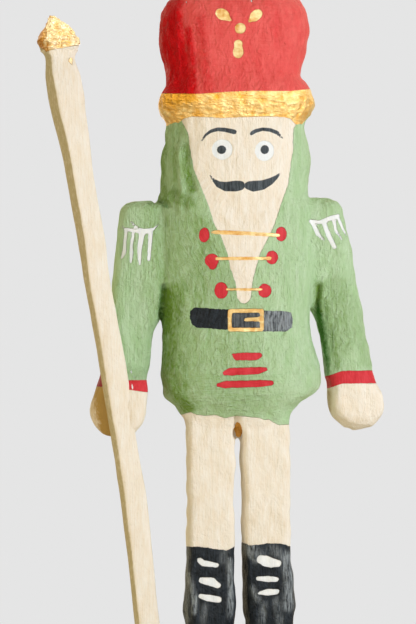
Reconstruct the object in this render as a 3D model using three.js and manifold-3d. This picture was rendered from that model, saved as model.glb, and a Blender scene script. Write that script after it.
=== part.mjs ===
// A hand-painted papier-mache toy soldier in a tall hat, a staff in his right hand, on a low plinth.
// Three pieces: the figure, moulded as one from hat to boots, the staff that he holds and the plinth.
// Millimetres. +Z is up and the soldier faces -Y. The origin is the middle of the plinth's underside.
import * as THREE from "three";
import { mergeVertices } from "three/addons/utils/BufferGeometryUtils.js";
import Module from "manifold-3d";

const wasm = await Module();
wasm.setup();

// Driving sizes of the figure and of what touches it.
const FIGURE_HEIGHT = 610; // soles to the crown of the hat
const TOUCH_GAP = 0.3; // air left between two pieces that rest on or in each other

// Driving sizes of the staff.
const STAFF_HEIGHT = 580; // its foot on the plinth to the tip of its gilt head
const STAFF_WIDTH = 20; // across the shaft below the hand, seen from the front
const STAFF_THICKNESS = 18; // front to back
const STAFF_HEAD_WIDTH = 34; // across the two corners of the head
const STAFF_BED = 2; // how deep the shaft lies in the front of the mitten
const STAFF_OUTSIDE = 1.3; // how far outside the mitten's middle the shaft crosses it

// Driving sizes of the plinth.
const PLINTH_THICKNESS = 20;
const PLINTH_MARGIN = 13; // left free round the boots and the staff's foot
const PLINTH_CORNER = 34; // radius of its upright corners
const PLINTH_EDGE = 4; // rounding of its top and bottom edges

// How finely the surfaces are faceted.
const TRUNK_SIDES = 36;
const LIMB_SIDES = 22;
const STAFF_SIDES = 12;
const CORNER_STEPS = 8;
const EDGE_STEPS = 2;

const COLOURS = { coat: 0x9cc088, cream: 0xefe0c4 };

// The figure is carved by stations, from the lowest up. All are thousandths of its height: "up" from the
// soles, "x" and "y" to the middle of the section, "wide" and "deep" its half sizes. "square" is the
// power of the section's rounded outline: 2 is an ellipse and 6 nearly a rectangle.

// The hat, its gilt band, the head in its hood and the coat, down to the hem.
const TRUNK = [
  { up: 376, x: 0, y: 0, wide: 66, deep: 30, square: 4 },
  { up: 381, x: 0, y: 0, wide: 73, deep: 34, square: 4 }, // hem
  { up: 392, x: 0, y: 0, wide: 76, deep: 38, square: 3.6 },
  { up: 404, x: -1, y: 0, wide: 83, deep: 44, square: 3.2 },
  { up: 414, x: -2, y: 0, wide: 94, deep: 50, square: 3 },
  { up: 425, x: 3, y: 0, wide: 107, deep: 55, square: 3 },
  { up: 437, x: 7, y: 0, wide: 112, deep: 57, square: 3 },
  { up: 450, x: 7, y: 0, wide: 114, deep: 58, square: 3 }, // the coat's fullest line
  { up: 473, x: 6, y: 0, wide: 112, deep: 58, square: 2.9 },
  { up: 496, x: 3, y: 0, wide: 108, deep: 57, square: 2.8 },
  { up: 530, x: 1, y: 0, wide: 105, deep: 56, square: 2.8 }, // waist, under the belt
  { up: 570, x: 0, y: 0, wide: 110, deep: 56, square: 2.8 },
  { up: 630, x: 0, y: 0, wide: 114, deep: 56, square: 2.8 }, // chest
  { up: 672, x: 0, y: 0, wide: 115, deep: 56, square: 2.8 },
  { up: 692, x: -2, y: 0, wide: 111, deep: 56, square: 2.7 }, // the shoulders' line
  { up: 706, x: -3, y: 0, wide: 106, deep: 56, square: 2.7 },
  { up: 724, x: -1, y: 0, wide: 105, deep: 56, square: 2.7 },
  { up: 750, x: 0, y: 0, wide: 107, deep: 57, square: 2.7 }, // cheeks
  { up: 780, x: 1, y: 0, wide: 103, deep: 57, square: 2.7 },
  { up: 804, x: 0, y: 0, wide: 97, deep: 57, square: 2.7 }, // under the band
  { up: 813, x: -1, y: 0, wide: 101, deep: 59, square: 2.7 },
  { up: 824, x: -1, y: 0, wide: 109, deep: 62, square: 2.7 },
  { up: 838, x: 1, y: 0, wide: 112, deep: 64, square: 2.7 }, // the band's roll
  { up: 852, x: 2, y: 0, wide: 108, deep: 63, square: 2.7 },
  { up: 864, x: 1, y: 0, wide: 101, deep: 60, square: 2.7 },
  { up: 878, x: -4, y: 0, wide: 96, deep: 58, square: 2.6 }, // the hat's waist
  { up: 900, x: -4, y: 0, wide: 100, deep: 60, square: 2.6 },
  { up: 920, x: -4, y: 0, wide: 105, deep: 63, square: 2.6 },
  { up: 942, x: -3, y: 0, wide: 107, deep: 64, square: 2.6 }, // the hat's fullest line
  { up: 960, x: -3, y: 0, wide: 105, deep: 62, square: 2.6 },
  { up: 976, x: -3, y: 0, wide: 98, deep: 57, square: 2.6 },
  { up: 988, x: -1, y: 0, wide: 86, deep: 48, square: 2.5 },
  { up: 996, x: 0, y: 0, wide: 66, deep: 34, square: 2.4 },
  { up: 1000, x: 0, y: 0, wide: 34, deep: 16, square: 2.2 },
];

// The arm that holds the staff, on the soldier's right, from the end of the mitten to the shoulder.
const STAFF_ARM = [
  { up: 366, x: -168, y: 0, wide: 8, deep: 8, square: 2.2 },
  { up: 370, x: -168, y: 0, wide: 18, deep: 17, square: 2.4 },
  { up: 380, x: -168, y: 0, wide: 28, deep: 26, square: 2.8 },
  { up: 394, x: -168, y: 0, wide: 34, deep: 31, square: 3.2 },
  { up: 412, x: -167, y: 0, wide: 36, deep: 33, square: 3.4 }, // across the mitten
  { up: 433, x: -163, y: 0, wide: 35, deep: 32, square: 3.4 },
  { up: 449, x: -160, y: 0, wide: 33, deep: 29, square: 3.4 }, // cuff
  { up: 460, x: -158, y: 0, wide: 34, deep: 28, square: 3.2 },
  { up: 510, x: -152, y: 0, wide: 33, deep: 28, square: 3.2 },
  { up: 530, x: -147, y: 0, wide: 36, deep: 28, square: 3 }, // where the sleeve leaves the coat
  { up: 558, x: -138, y: 0, wide: 41, deep: 28, square: 3 },
  { up: 581, x: -135, y: 0, wide: 41, deep: 28, square: 3 },
  { up: 615, x: -131, y: 0, wide: 41, deep: 28, square: 3 },
  { up: 655, x: -129, y: 0, wide: 39, deep: 28, square: 3 },
  { up: 684, x: -129, y: 0, wide: 35, deep: 27, square: 3 },
  { up: 694, x: -132, y: 0, wide: 23, deep: 20, square: 2.8 },
  { up: 697, x: -134, y: 0, wide: 12, deep: 11, square: 2.5 },
];

// The hanging arm, on his left.
const FREE_ARM = [
  { up: 371, x: 175, y: 0, wide: 8, deep: 8, square: 2.2 },
  { up: 375, x: 175, y: 0, wide: 17, deep: 17, square: 2.4 },
  { up: 384, x: 175, y: 0, wide: 27, deep: 25, square: 2.8 },
  { up: 396, x: 175, y: 0, wide: 34, deep: 30, square: 3.4 },
  { up: 412, x: 174, y: 0, wide: 38, deep: 31, square: 3.8 }, // across the mitten
  { up: 425, x: 172, y: 0, wide: 37, deep: 31, square: 3.8 },
  { up: 438, x: 168, y: 0, wide: 34, deep: 30, square: 3.6 },
  { up: 457, x: 164, y: 2, wide: 32, deep: 28, square: 3.4 }, // cuff
  { up: 486, x: 160, y: 6, wide: 33, deep: 28, square: 3 },
  { up: 515, x: 156, y: 10, wide: 34, deep: 28, square: 2.8 },
  { up: 534, x: 151, y: 13, wide: 36, deep: 28, square: 2.8 }, // where the sleeve leaves the coat
  { up: 560, x: 142, y: 14, wide: 40, deep: 28, square: 2.8 },
  { up: 582, x: 136, y: 12, wide: 42, deep: 28, square: 2.8 },
  { up: 615, x: 129, y: 6, wide: 42, deep: 28, square: 3 },
  { up: 655, x: 124, y: 0, wide: 36, deep: 28, square: 3 },
  { up: 686, x: 121, y: 0, wide: 33, deep: 27, square: 3 },
  { up: 699, x: 122, y: 0, wide: 24, deep: 20, square: 2.8 },
  { up: 703, x: 122, y: 0, wide: 14, deep: 12, square: 2.5 },
];

// One leg with its boot, drawn about its own middle, from the flat sole to inside the coat. "splay" is how
// far the boot drifts outwards on the left leg only.
const LEG = [
  { up: 0, splay: 4, y: -24, wide: 31, deep: 55, square: 2.8 },
  { up: 6, splay: 4, y: -25, wide: 34, deep: 59, square: 2.8 },
  { up: 18, splay: 4, y: -25, wide: 35, deep: 60, square: 2.8 }, // the foot's fullest line
  { up: 34, splay: 4, y: -20, wide: 34, deep: 54, square: 2.8 },
  { up: 52, splay: 4, y: -9, wide: 32, deep: 42, square: 3 },
  { up: 70, splay: 4, y: -3, wide: 30, deep: 34, square: 3.2 }, // ankle
  { up: 94, splay: 6, y: 0, wide: 31, deep: 33, square: 3.6 },
  { up: 118, splay: 7, y: 0, wide: 35, deep: 34, square: 3.8 },
  { up: 150, splay: 6, y: 0, wide: 34, deep: 34, square: 4 },
  { up: 204, splay: 2, y: -2, wide: 32, deep: 31, square: 4.4 }, // top of the boot
  { up: 240, splay: 1, y: -5, wide: 32, deep: 27, square: 4.6 },
  { up: 320, splay: 0, y: -6, wide: 33, deep: 26, square: 4.6 },
  { up: 380, splay: 0, y: -5, wide: 34, deep: 27, square: 4.6 },
  { up: 420, splay: 0, y: -2, wide: 35, deep: 31, square: 4.6 },
];
const LEG_X = { right: -38, left: 41 }; // the legs' middles, in thousandths of the height

/** A leg's stations about their middle, "drift" of the splay added: 0 for a straight leg, 1 for all of it. */
function legAt(x, drift) {
  return LEG.map(({ splay, ...rest }) => ({ ...rest, x: x + splay * drift }));
}

// The swell of paper that closes the mitten round the staff, on the staff's inner side.
const GRIP = [
  { up: 367, x: -160.5, y: -20, wide: 5.5, deep: 14, square: 2.2 },
  { up: 380, x: -153.5, y: -27, wide: 12.5, deep: 30, square: 3 },
  { up: 391, x: -150, y: -27, wide: 16, deep: 31, square: 3.4 },
  { up: 405, x: -148, y: -27, wide: 18, deep: 31, square: 3.4 },
  { up: 426, x: -148, y: -25, wide: 18, deep: 30, square: 3.4 },
  { up: 440, x: -147, y: -19, wide: 17, deep: 25, square: 3 },
  { up: 456, x: -148, y: -11, wide: 13, deep: 18, square: 2.6 },
  { up: 466, x: -149, y: -6, wide: 9, deep: 12, square: 2.2 },
];

// The staff is carved by stations too. "up" is in thousandths of its height, "x" the shaft's lean in
// thousandths of its height from its foot, "wide" and "deep" shares of its own half width and thickness.
const STAFF_SHAFT = [
  { up: 0, x: 0, wide: 0.94, deep: 0.95, square: 3 },
  { up: 66, x: -6, wide: 0.97, deep: 1, square: 2.8 },
  { up: 138, x: -14, wide: 0.97, deep: 1, square: 2.8 },
  { up: 208, x: -21, wide: 0.97, deep: 1, square: 2.8 },
  { up: 278, x: -29, wide: 1.05, deep: 1, square: 2.8 },
  { up: 383, x: -45, wide: 0.97, deep: 1, square: 2.8 },
  { up: 441, x: -54, wide: 1.01, deep: 1, square: 2.8 }, // in the mitten
  { up: 522, x: -67, wide: 1, deep: 1, square: 2.8 },
  { up: 627, x: -86, wide: 0.99, deep: 1, square: 2.8 },
  { up: 673, x: -92, wide: 1.04, deep: 1, square: 2.8 },
  { up: 719, x: -101, wide: 0.97, deep: 1, square: 3 },
  { up: 765, x: -109, wide: 1, deep: 1.02, square: 3 },
  { up: 812, x: -116, wide: 1.25, deep: 1.14, square: 3.2 },
  { up: 858, x: -126, wide: 1.46, deep: 1.26, square: 3.4 }, // the stout stretch under the head
  { up: 881, x: -129, wide: 1.42, deep: 1.26, square: 3.4 },
  { up: 904, x: -132, wide: 1.32, deep: 1.2, square: 3.2 },
  { up: 936, x: -138, wide: 1.18, deep: 1.12, square: 3 },
];
const STAFF_HEAD = [
  { up: 944, x: -138, wide: 0.74, deep: 0.66, square: 2.6 },
  { up: 951, x: -139, wide: 0.94, deep: 0.76, square: 2.4 },
  { up: 961, x: -140, wide: 1, deep: 0.8, square: 2.4 }, // the head's two corners
  { up: 973, x: -140, wide: 0.85, deep: 0.7, square: 2.2 },
  { up: 985, x: -142, wide: 0.52, deep: 0.48, square: 2 },
  { up: 996, x: -145, wide: 0.23, deep: 0.24, square: 2 },
  { up: 1000, x: -146, wide: 0.09, deep: 0.1, square: 2 },
];

const share = FIGURE_HEIGHT / 1000;
const figureFloor = PLINTH_THICKNESS + TOUCH_GAP;

/** A value between stations, by a smooth curve through them that never swings past a station's own value. */
function between(stations, key, i, f) {
  const at = (n) => stations[THREE.MathUtils.clamp(n, 0, stations.length - 1)];
  const slope = (n) => {
    const run = at(n + 1).up - at(n).up;
    return run > 0 ? (at(n + 1)[key] - at(n)[key]) / run : 0;
  };
  const tangent = (n) => {
    const before = slope(n - 1);
    const after = slope(n);
    return before * after > 0 ? (2 * before * after) / (before + after) : 0;
  };
  const run = at(i + 1).up - at(i).up;
  const [f2, f3] = [f * f, f * f * f];
  return (
    at(i)[key] * (2 * f3 - 3 * f2 + 1) +
    at(i + 1)[key] * (3 * f2 - 2 * f3) +
    tangent(i) * run * (f3 - 2 * f2 + f) +
    tangent(i + 1) * run * (f3 - f2)
  );
}

/** A value of the stations at any height within them. */
function valueAt(stations, key, up) {
  const i = stations.findLastIndex((station) => station.up <= up);
  return between(stations, key, i, (up - stations[i].up) / (stations[i + 1].up - stations[i].up));
}

/** A closed solid whose level sections follow the stations, made by reshaping a plain cylinder. */
function loft(stations, sides, steps) {
  const rings = (stations.length - 1) * steps;
  const blank = new THREE.CylinderGeometry(1, 1, 1, sides, rings).rotateX(Math.PI / 2);
  const points = blank.getAttribute("position");
  for (let n = 0; n < points.count; n++) {
    const ring = Math.round((points.getZ(n) + 0.5) * rings);
    const i = Math.min(Math.floor(ring / steps), stations.length - 2);
    const f = ring / steps - i;
    const value = (key) => between(stations, key, i, f);
    const up = THREE.MathUtils.lerp(stations[i].up, stations[i + 1].up, f);
    const bend = (c) => Math.sign(c) * Math.abs(c) ** (2 / value("square"));
    points.setXYZ(
      n,
      value("x") + value("wide") * bend(points.getX(n)),
      value("y") + value("deep") * bend(points.getY(n)),
      up,
    );
  }
  return blank;
}

/** Stations in thousandths of the figure's height as stations in millimetres, standing on the plinth. */
function onFigure(stations) {
  return stations.map(({ up, x, y, wide, deep, square }) => ({
    up: up * share + figureFloor,
    x: x * share,
    y: y * share,
    wide: wide * share,
    deep: deep * share,
    square,
  }));
}

/** A closed geometry as a solid that can be joined and cut. */
function solid(geometry) {
  const bare = geometry.clone();
  bare.deleteAttribute("normal");
  bare.deleteAttribute("uv");
  const merged = mergeVertices(bare, 1e-4);
  return new wasm.Manifold(
    new wasm.Mesh({
      numProp: 3,
      vertProperties: new Float32Array(merged.getAttribute("position").array),
      triVerts: new Uint32Array(merged.index.array),
    }),
  );
}

/** A solid as a geometry again. */
function geometryOf(shape) {
  const { vertProperties, triVerts } = shape.getMesh();
  return new THREE.BufferGeometry()
    .setAttribute("position", new THREE.BufferAttribute(vertProperties, 3))
    .setIndex(new THREE.BufferAttribute(triVerts, 1));
}

/** A painted piece with its name. */
function piece(name, geometry, colour) {
  geometry.computeVertexNormals();
  const paint = new THREE.MeshStandardMaterial({ color: colour, roughness: 0.75, metalness: 0 });
  const mesh = new THREE.Mesh(geometry, paint);
  mesh.name = name;
  return mesh;
}

// The staff leans in the front of the mitten, at the mitten's deepest station, and its foot follows from
// that crossing and from the lean.
const mitten = STAFF_ARM.reduce((deepest, station) => (station.deep > deepest.deep ? station : deepest));
const staffLean = STAFF_HEIGHT / 1000;
const crossing = valueAt(STAFF_SHAFT, "x", (mitten.up * share) / staffLean) * staffLean;
const staffFootX = mitten.x * share - STAFF_OUTSIDE - crossing;
const staffY = STAFF_BED - mitten.deep * share - STAFF_THICKNESS / 2;

/** The staff's stations in millimetres, its section grown by "grow" all round. */
function staffStations(grow) {
  const made = (stations, width, thickness) =>
    stations.map(({ up, x, wide, deep, square }) => ({
      up: figureFloor + up * staffLean,
      x: staffFootX + x * staffLean,
      y: staffY,
      wide: (wide * width) / 2 + grow,
      deep: (deep * thickness) / 2 + grow,
      square,
    }));
  return [
    ...made(STAFF_SHAFT, STAFF_WIDTH, STAFF_THICKNESS),
    ...made(STAFF_HEAD, STAFF_HEAD_WIDTH, STAFF_HEAD_WIDTH),
  ];
}

/** The whole soldier as one moulding, with a bed for the staff in the mitten. */
function figure() {
  const trunk = solid(loft(onFigure(TRUNK), TRUNK_SIDES, 1));
  const limbs = [
    loft(onFigure(STAFF_ARM), LIMB_SIDES, 1),
    loft(onFigure(FREE_ARM), LIMB_SIDES, 1),
    loft(onFigure(legAt(LEG_X.right, 0)), LIMB_SIDES, 2),
    loft(onFigure(legAt(LEG_X.left, 1)), LIMB_SIDES, 2),
    loft(onFigure(GRIP), LIMB_SIDES, 2),
  ];
  const moulded = limbs.reduce((whole, limb) => whole.add(solid(limb)), trunk);
  const bed = solid(loft(staffStations(TOUCH_GAP), STAFF_SIDES, 2));
  return geometryOf(moulded.subtract(bed));
}

/** The plinth: a slab with rounded corners, as wide as the staff's foot and the boots need. */
function plinth() {
  const footReach = Math.abs(staffFootX) + STAFF_WIDTH / 2;
  const toeReach = Math.max(...LEG.map(({ y, deep }) => deep - y)) * share;
  const halfWidth = footReach + PLINTH_MARGIN - PLINTH_EDGE;
  const halfDepth = toeReach + PLINTH_MARGIN - PLINTH_EDGE;
  const corner = PLINTH_CORNER - PLINTH_EDGE;
  const outline = new THREE.Shape();
  const centres = [
    [1, 1],
    [-1, 1],
    [-1, -1],
    [1, -1],
  ];
  centres.forEach(([sx, sy], n) => {
    const start = (n * Math.PI) / 2;
    outline.absarc(
      sx * (halfWidth - corner),
      sy * (halfDepth - corner),
      corner,
      start,
      start + Math.PI / 2,
    );
  });
  outline.closePath();
  return new THREE.ExtrudeGeometry(outline, {
    depth: PLINTH_THICKNESS - 2 * PLINTH_EDGE,
    curveSegments: CORNER_STEPS,
    bevelSize: PLINTH_EDGE,
    bevelThickness: PLINTH_EDGE,
    bevelSegments: EDGE_STEPS,
  }).translate(0, 0, PLINTH_EDGE);
}

const soldier = new THREE.Group();
soldier.name = "papier_mache_soldier";
soldier.add(piece("figure", figure(), COLOURS.coat));
soldier.add(piece("staff", loft(staffStations(0), STAFF_SIDES, 2), COLOURS.cream));
soldier.add(piece("plinth", plinth(), COLOURS.coat));

export default soldier;
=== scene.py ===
"""A hand-painted papier-mache toy soldier who holds a gilt-headed staff and stands on a low plinth.

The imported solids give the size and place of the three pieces. Each is dressed here as the real one is made:
strips of pasted paper smoothed over a core, a ground of brushed paint, then the details in single strokes.

Lengths are in millimetres until a mesh is written. The figure's own proportions are thousandths of its
height, counted up from the soles and out from its middle. What is painted or dented at one spot is placed
by the pixel of the photograph where it shows, and lands on whatever surface the photographer saw there.
"""

from __future__ import annotations

import logging
import math
from collections.abc import Mapping, Sequence
from dataclasses import dataclass, replace
from enum import Enum
from typing import Any

import bpy
import numpy as np
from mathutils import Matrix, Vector

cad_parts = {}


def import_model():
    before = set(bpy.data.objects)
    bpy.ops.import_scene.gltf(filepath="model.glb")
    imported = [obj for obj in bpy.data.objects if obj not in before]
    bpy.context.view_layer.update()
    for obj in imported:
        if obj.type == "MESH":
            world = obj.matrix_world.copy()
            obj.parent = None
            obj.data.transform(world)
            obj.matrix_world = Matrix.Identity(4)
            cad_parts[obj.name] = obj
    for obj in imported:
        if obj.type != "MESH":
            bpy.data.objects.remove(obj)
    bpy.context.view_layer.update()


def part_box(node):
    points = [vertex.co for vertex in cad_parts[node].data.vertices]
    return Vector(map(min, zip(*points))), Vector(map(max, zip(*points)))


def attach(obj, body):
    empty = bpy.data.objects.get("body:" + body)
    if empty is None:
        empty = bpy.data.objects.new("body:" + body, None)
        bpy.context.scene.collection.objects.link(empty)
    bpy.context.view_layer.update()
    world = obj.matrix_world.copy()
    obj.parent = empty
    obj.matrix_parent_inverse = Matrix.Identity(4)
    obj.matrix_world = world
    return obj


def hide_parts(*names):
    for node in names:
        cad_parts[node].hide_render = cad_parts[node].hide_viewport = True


LOG = logging.getLogger("soldier")
MM = 0.001
# Where the staff's foot stands to the soldier's right, as a share of his height.
STAFF_FOOT_X = -0.119

Pixel = tuple[float, float]


# The photograph's viewpoint


@dataclass(frozen=True)
class Viewpoint:
    """Where the photograph was taken from, and which of its pixels show the soldier's middle and ends.

    Attributes:
        height_mm: The soldier from soles to crown.
        floor_mm: The height of his soles in the frame.
        azimuth_deg: The camera's turn round him, negative towards his right.
        distance_mm: From the camera to his middle.
        lens_mm: Focal length on a sensor whose long side is sensor_mm.
        frame_px: Width and height of the photograph.
        middle_px: The column of his middle.
        crown_px: The row of the crown of his hat, just above the picture.
        sole_px: The row of his soles, below the picture.
    """

    height_mm: float
    floor_mm: float
    azimuth_deg: float = -7.0
    distance_mm: float = 1280.0
    lens_mm: float = 85.0
    sensor_mm: float = 36.0
    frame_px: tuple[int, int] = (416, 624)
    middle_px: float = 235.5
    crown_px: float = -9.0
    sole_px: float = 690.0

    @property
    def mm_per_px(self) -> float:
        """What one pixel covers on the soldier's middle plane."""
        return self.height_mm / (self.sole_px - self.crown_px)

    def axes(self) -> tuple[np.ndarray, np.ndarray, np.ndarray]:
        """The camera's axes as unit vectors.

        Returns:
            Its right, its up and the way from the soldier back to it.
        """
        turn = math.radians(self.azimuth_deg)
        right = np.array([math.cos(turn), math.sin(turn), 0.0])
        back = np.array([math.sin(turn), -math.cos(turn), 0.0])
        return right, np.array([0.0, 0.0, 1.0]), back

    def aim(self) -> np.ndarray:
        """What the centre of the photograph shows.

        Returns:
            The point on the soldier's middle plane, in millimetres.
        """
        right, up, _ = self.axes()
        across = (self.frame_px[0] / 2 - self.middle_px) * self.mm_per_px
        height = self.floor_mm + (self.sole_px - self.frame_px[1] / 2) * self.mm_per_px
        return right * across + up * height

    def camera(self) -> np.ndarray:
        """The camera's place."""
        return self.aim() + self.axes()[2] * self.distance_mm

    def seen(self, points: np.ndarray) -> np.ndarray:
        """The pixels at which points show.

        The offset from the camera is split along its axes, and divided by its depth times the focal
        length in pixels.

        Args:
            points: An (n, 3) array in millimetres.

        Returns:
            An (n, 2) array of columns and rows.
        """
        right, up, back = self.axes()
        away = points - self.camera()
        focal = self.lens_mm / self.sensor_mm * max(self.frame_px)
        depth = -(away @ back)
        return np.stack(
            [
                self.frame_px[0] / 2 + focal * (away @ right) / depth,
                self.frame_px[1] / 2 - focal * (away @ up) / depth,
            ],
            axis=1,
        )


# Shapes as arrays


@dataclass(frozen=True)
class Station:
    """One level section of a moulded limb, in thousandths of its scale.

    Attributes:
        up: Height above the limb's zero.
        x: Middle of the section, sideways.
        y: Middle of the section, front to back.
        wide: Half its width.
        deep: Half its depth.
        square: Power of its outline: 2 is an ellipse, 6 nearly a rectangle.
        turn: Degrees that the section is turned about the vertical.
    """

    up: float
    x: float
    y: float
    wide: float
    deep: float
    square: float = 3.0
    turn: float = 0.0


def stations(*rows: tuple[float, ...]) -> tuple[Station, ...]:
    """Sections from rows of numbers, each in the order of a Station's fields."""
    return tuple(Station(*row) for row in rows)


def through(at: np.ndarray, values: np.ndarray, wanted: np.ndarray) -> np.ndarray:
    """Values on a smooth curve through given ones that never swings past them.

    Each tangent is the harmonic mean of the slopes on both sides, or nought where these differ in sign,
    and a cubic joins each pair of neighbours.

    Args:
        at: Increasing places of the given values.
        values: The given values.
        wanted: Places at which the curve is read.

    Returns:
        The curve at each wanted place.
    """
    run = np.diff(at)
    slope = np.diff(values) / run
    product = slope[1:] * slope[:-1]
    total = slope[1:] + slope[:-1]
    tangent = np.zeros(len(at))
    level = np.abs(total) < 1e-12
    tangent[1:-1] = np.where(product > 0, 2 * product / np.where(level, 1.0, total), 0.0)
    i = np.clip(np.searchsorted(at, wanted, side="right") - 1, 0, len(run) - 1)
    f = np.clip((wanted - at[i]) / run[i], 0.0, 1.0)
    return (
        values[i] * (2 * f**3 - 3 * f**2 + 1)
        + values[i + 1] * (3 * f**2 - 2 * f**3)
        + tangent[i] * run[i] * (f**3 - 2 * f**2 + f)
        + tangent[i + 1] * run[i] * (f**3 - f**2)
    )


@dataclass(frozen=True)
class Surface:
    """Vertices and faces as arrays: an (n, 3) array in millimetres, and (m, 4) vertex numbers.

    A triangle repeats its last vertex number.
    """

    points: np.ndarray
    faces: np.ndarray


def loft(stations: Sequence[Station], scale: float, base_mm: float, rows: int, sides: int) -> Surface:
    """A closed limb whose level sections follow its stations.

    At the angle a, a section lies at its middle plus its half width times cos a and its half depth
    times sin a, each raised in size to the power 2 over square with its sign kept, then turned.

    Args:
        stations: The sections, from the lowest up.
        scale: Millimetres to one unit of the stations.
        base_mm: Height of the stations' zero.
        rows: Rings along the limb.
        sides: Points round a ring.

    Returns:
        The limb, with a fan closing each end.
    """
    names = ("up", "x", "y", "wide", "deep", "square", "turn")
    given = {name: np.array([getattr(s, name) for s in stations], float) for name in names}
    # Even steps between each pair of stations, so that close stations get close rings.
    up = np.interp(np.linspace(0, len(stations) - 1, rows), np.arange(len(stations)), given["up"])
    ring = {name: through(given["up"], given[name], up)[:, None] for name in names[1:]}
    angle = np.linspace(0, 2 * np.pi, sides, endpoint=False)[None, :]
    power = 2.0 / ring["square"]
    across = ring["wide"] * np.sign(np.cos(angle)) * np.abs(np.cos(angle)) ** power
    inward = ring["deep"] * np.sign(np.sin(angle)) * np.abs(np.sin(angle)) ** power
    turn = np.radians(ring["turn"])
    x = ring["x"] + across * np.cos(turn) - inward * np.sin(turn)
    y = ring["y"] + across * np.sin(turn) + inward * np.cos(turn)
    z = np.broadcast_to(up[:, None], x.shape)
    wall = np.stack([x, y, z], axis=2).reshape(-1, 3)
    ends = np.array([[ring["x"][n, 0], ring["y"][n, 0], up[n]] for n in (0, -1)])
    points = np.concatenate([wall, ends]) * scale + np.array([0.0, 0.0, base_mm])
    return Surface(points, tube_faces(rows, sides))


def tube_faces(rows: int, sides: int) -> np.ndarray:
    """Outward faces of a stack of rings, and fans to two end points that follow the rings.

    Args:
        rows: Number of rings, from the lowest up, each counted anticlockwise from above.
        sides: Points in a ring.

    Returns:
        An (m, 4) array of vertex numbers.
    """
    here = np.arange(sides)
    after = (here + 1) % sides
    low = (np.arange(rows - 1) * sides)[:, None]
    wall = np.stack([low + here, low + after, low + sides + after, low + sides + here], axis=2)
    bottom, top = rows * sides, rows * sides + 1
    last = (rows - 1) * sides
    floor = np.stack([after, here, np.full(sides, bottom), np.full(sides, bottom)], axis=1)
    roof = np.stack([last + here, last + after, np.full(sides, top), np.full(sides, top)], axis=1)
    return np.concatenate([wall.reshape(-1, 4), floor, roof])


def joined(parts: Sequence[Surface]) -> Surface:
    """Several surfaces as one, their vertex numbers moved on.

    Args:
        parts: The surfaces.

    Returns:
        One surface with the points and faces of all.
    """
    starts = np.cumsum([0] + [len(part.points) for part in parts[:-1]])
    faces = np.concatenate([part.faces + start for part, start in zip(parts, starts)])
    return Surface(np.concatenate([part.points for part in parts]), faces)


def write_mesh(name: str, surface: Surface) -> bpy.types.Mesh:
    """Puts a surface into a mesh, in metres and shaded smooth.

    Args:
        name: The mesh's name.
        surface: What to write.

    Returns:
        The mesh.
    """
    faces = surface.faces
    corners = np.where(faces[:, 2] == faces[:, 3], 3, 4)
    keep = np.arange(4)[None, :] < corners[:, None]
    mesh = bpy.data.meshes.new(name)
    mesh.vertices.add(len(surface.points))
    mesh.vertices.foreach_set("co", (surface.points * MM).astype(np.float32).ravel())
    mesh.loops.add(int(corners.sum()))
    mesh.loops.foreach_set("vertex_index", faces[keep].astype(np.int32))
    mesh.polygons.add(len(faces))
    starts = np.concatenate([[0], np.cumsum(corners)[:-1]]).astype(np.int32)
    mesh.polygons.foreach_set("loop_start", starts)
    mesh.polygons.foreach_set("loop_total", corners.astype(np.int32))
    mesh.polygons.foreach_set("use_smooth", np.ones(len(faces), bool))
    mesh.update(calc_edges=True)
    mesh.validate()
    return mesh


def read_mesh(mesh: bpy.types.Mesh) -> Surface:
    """A mesh of triangles and four-sided faces as a surface in millimetres.

    Args:
        mesh: What to read.

    Returns:
        The surface, with the last corner of a triangle written twice.
    """
    points = np.empty(len(mesh.vertices) * 3)
    mesh.vertices.foreach_get("co", points)
    corners = np.empty(len(mesh.polygons), np.int32)
    starts = np.empty(len(mesh.polygons), np.int32)
    loops = np.empty(len(mesh.loops), np.int32)
    mesh.polygons.foreach_get("loop_total", corners)
    mesh.polygons.foreach_get("loop_start", starts)
    mesh.loops.foreach_get("vertex_index", loops)
    place = starts[:, None] + np.minimum(np.arange(4)[None, :], corners[:, None] - 1)
    return Surface(points.reshape(-1, 3) / MM, loops[place])


def skin_over(parts: Sequence[Surface], cell_mm: float) -> Surface:
    """One closed skin over overlapping limbs, as paper pasted over all of them makes.

    Args:
        parts: Closed limbs.
        cell_mm: Side of the skin's faces.

    Returns:
        The skin, of four-sided faces of one size.
    """
    core = bpy.data.objects.new("core", write_mesh("core", joined(parts)))
    bpy.context.scene.collection.objects.link(core)
    remesh = core.modifiers.new("skin", "REMESH")
    remesh.mode = "VOXEL"
    remesh.voxel_size = cell_mm * MM
    bpy.context.view_layer.update()
    evaluated = core.evaluated_get(bpy.context.evaluated_depsgraph_get())
    mesh = bpy.data.meshes.new_from_object(evaluated)
    skin = read_mesh(mesh)
    bpy.data.objects.remove(core)
    bpy.data.meshes.remove(mesh)
    return skin


def normals_of(surface: Surface) -> np.ndarray:
    """Outward unit normals at the vertices: the sum of the crossed diagonals of the faces round each.

    Args:
        surface: Its faces turn outwards.

    Returns:
        An (n, 3) array.
    """
    a, b, c, d = (surface.points[surface.faces[:, n]] for n in range(4))
    across = np.cross(c - a, d - b)
    total = np.zeros_like(surface.points)
    for corner in range(4):
        for axis in range(3):
            total[:, axis] += np.bincount(
                surface.faces[:, corner], weights=across[:, axis], minlength=len(total)
            )
    return total / np.maximum(np.linalg.norm(total, axis=1, keepdims=True), 1e-12)


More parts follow.
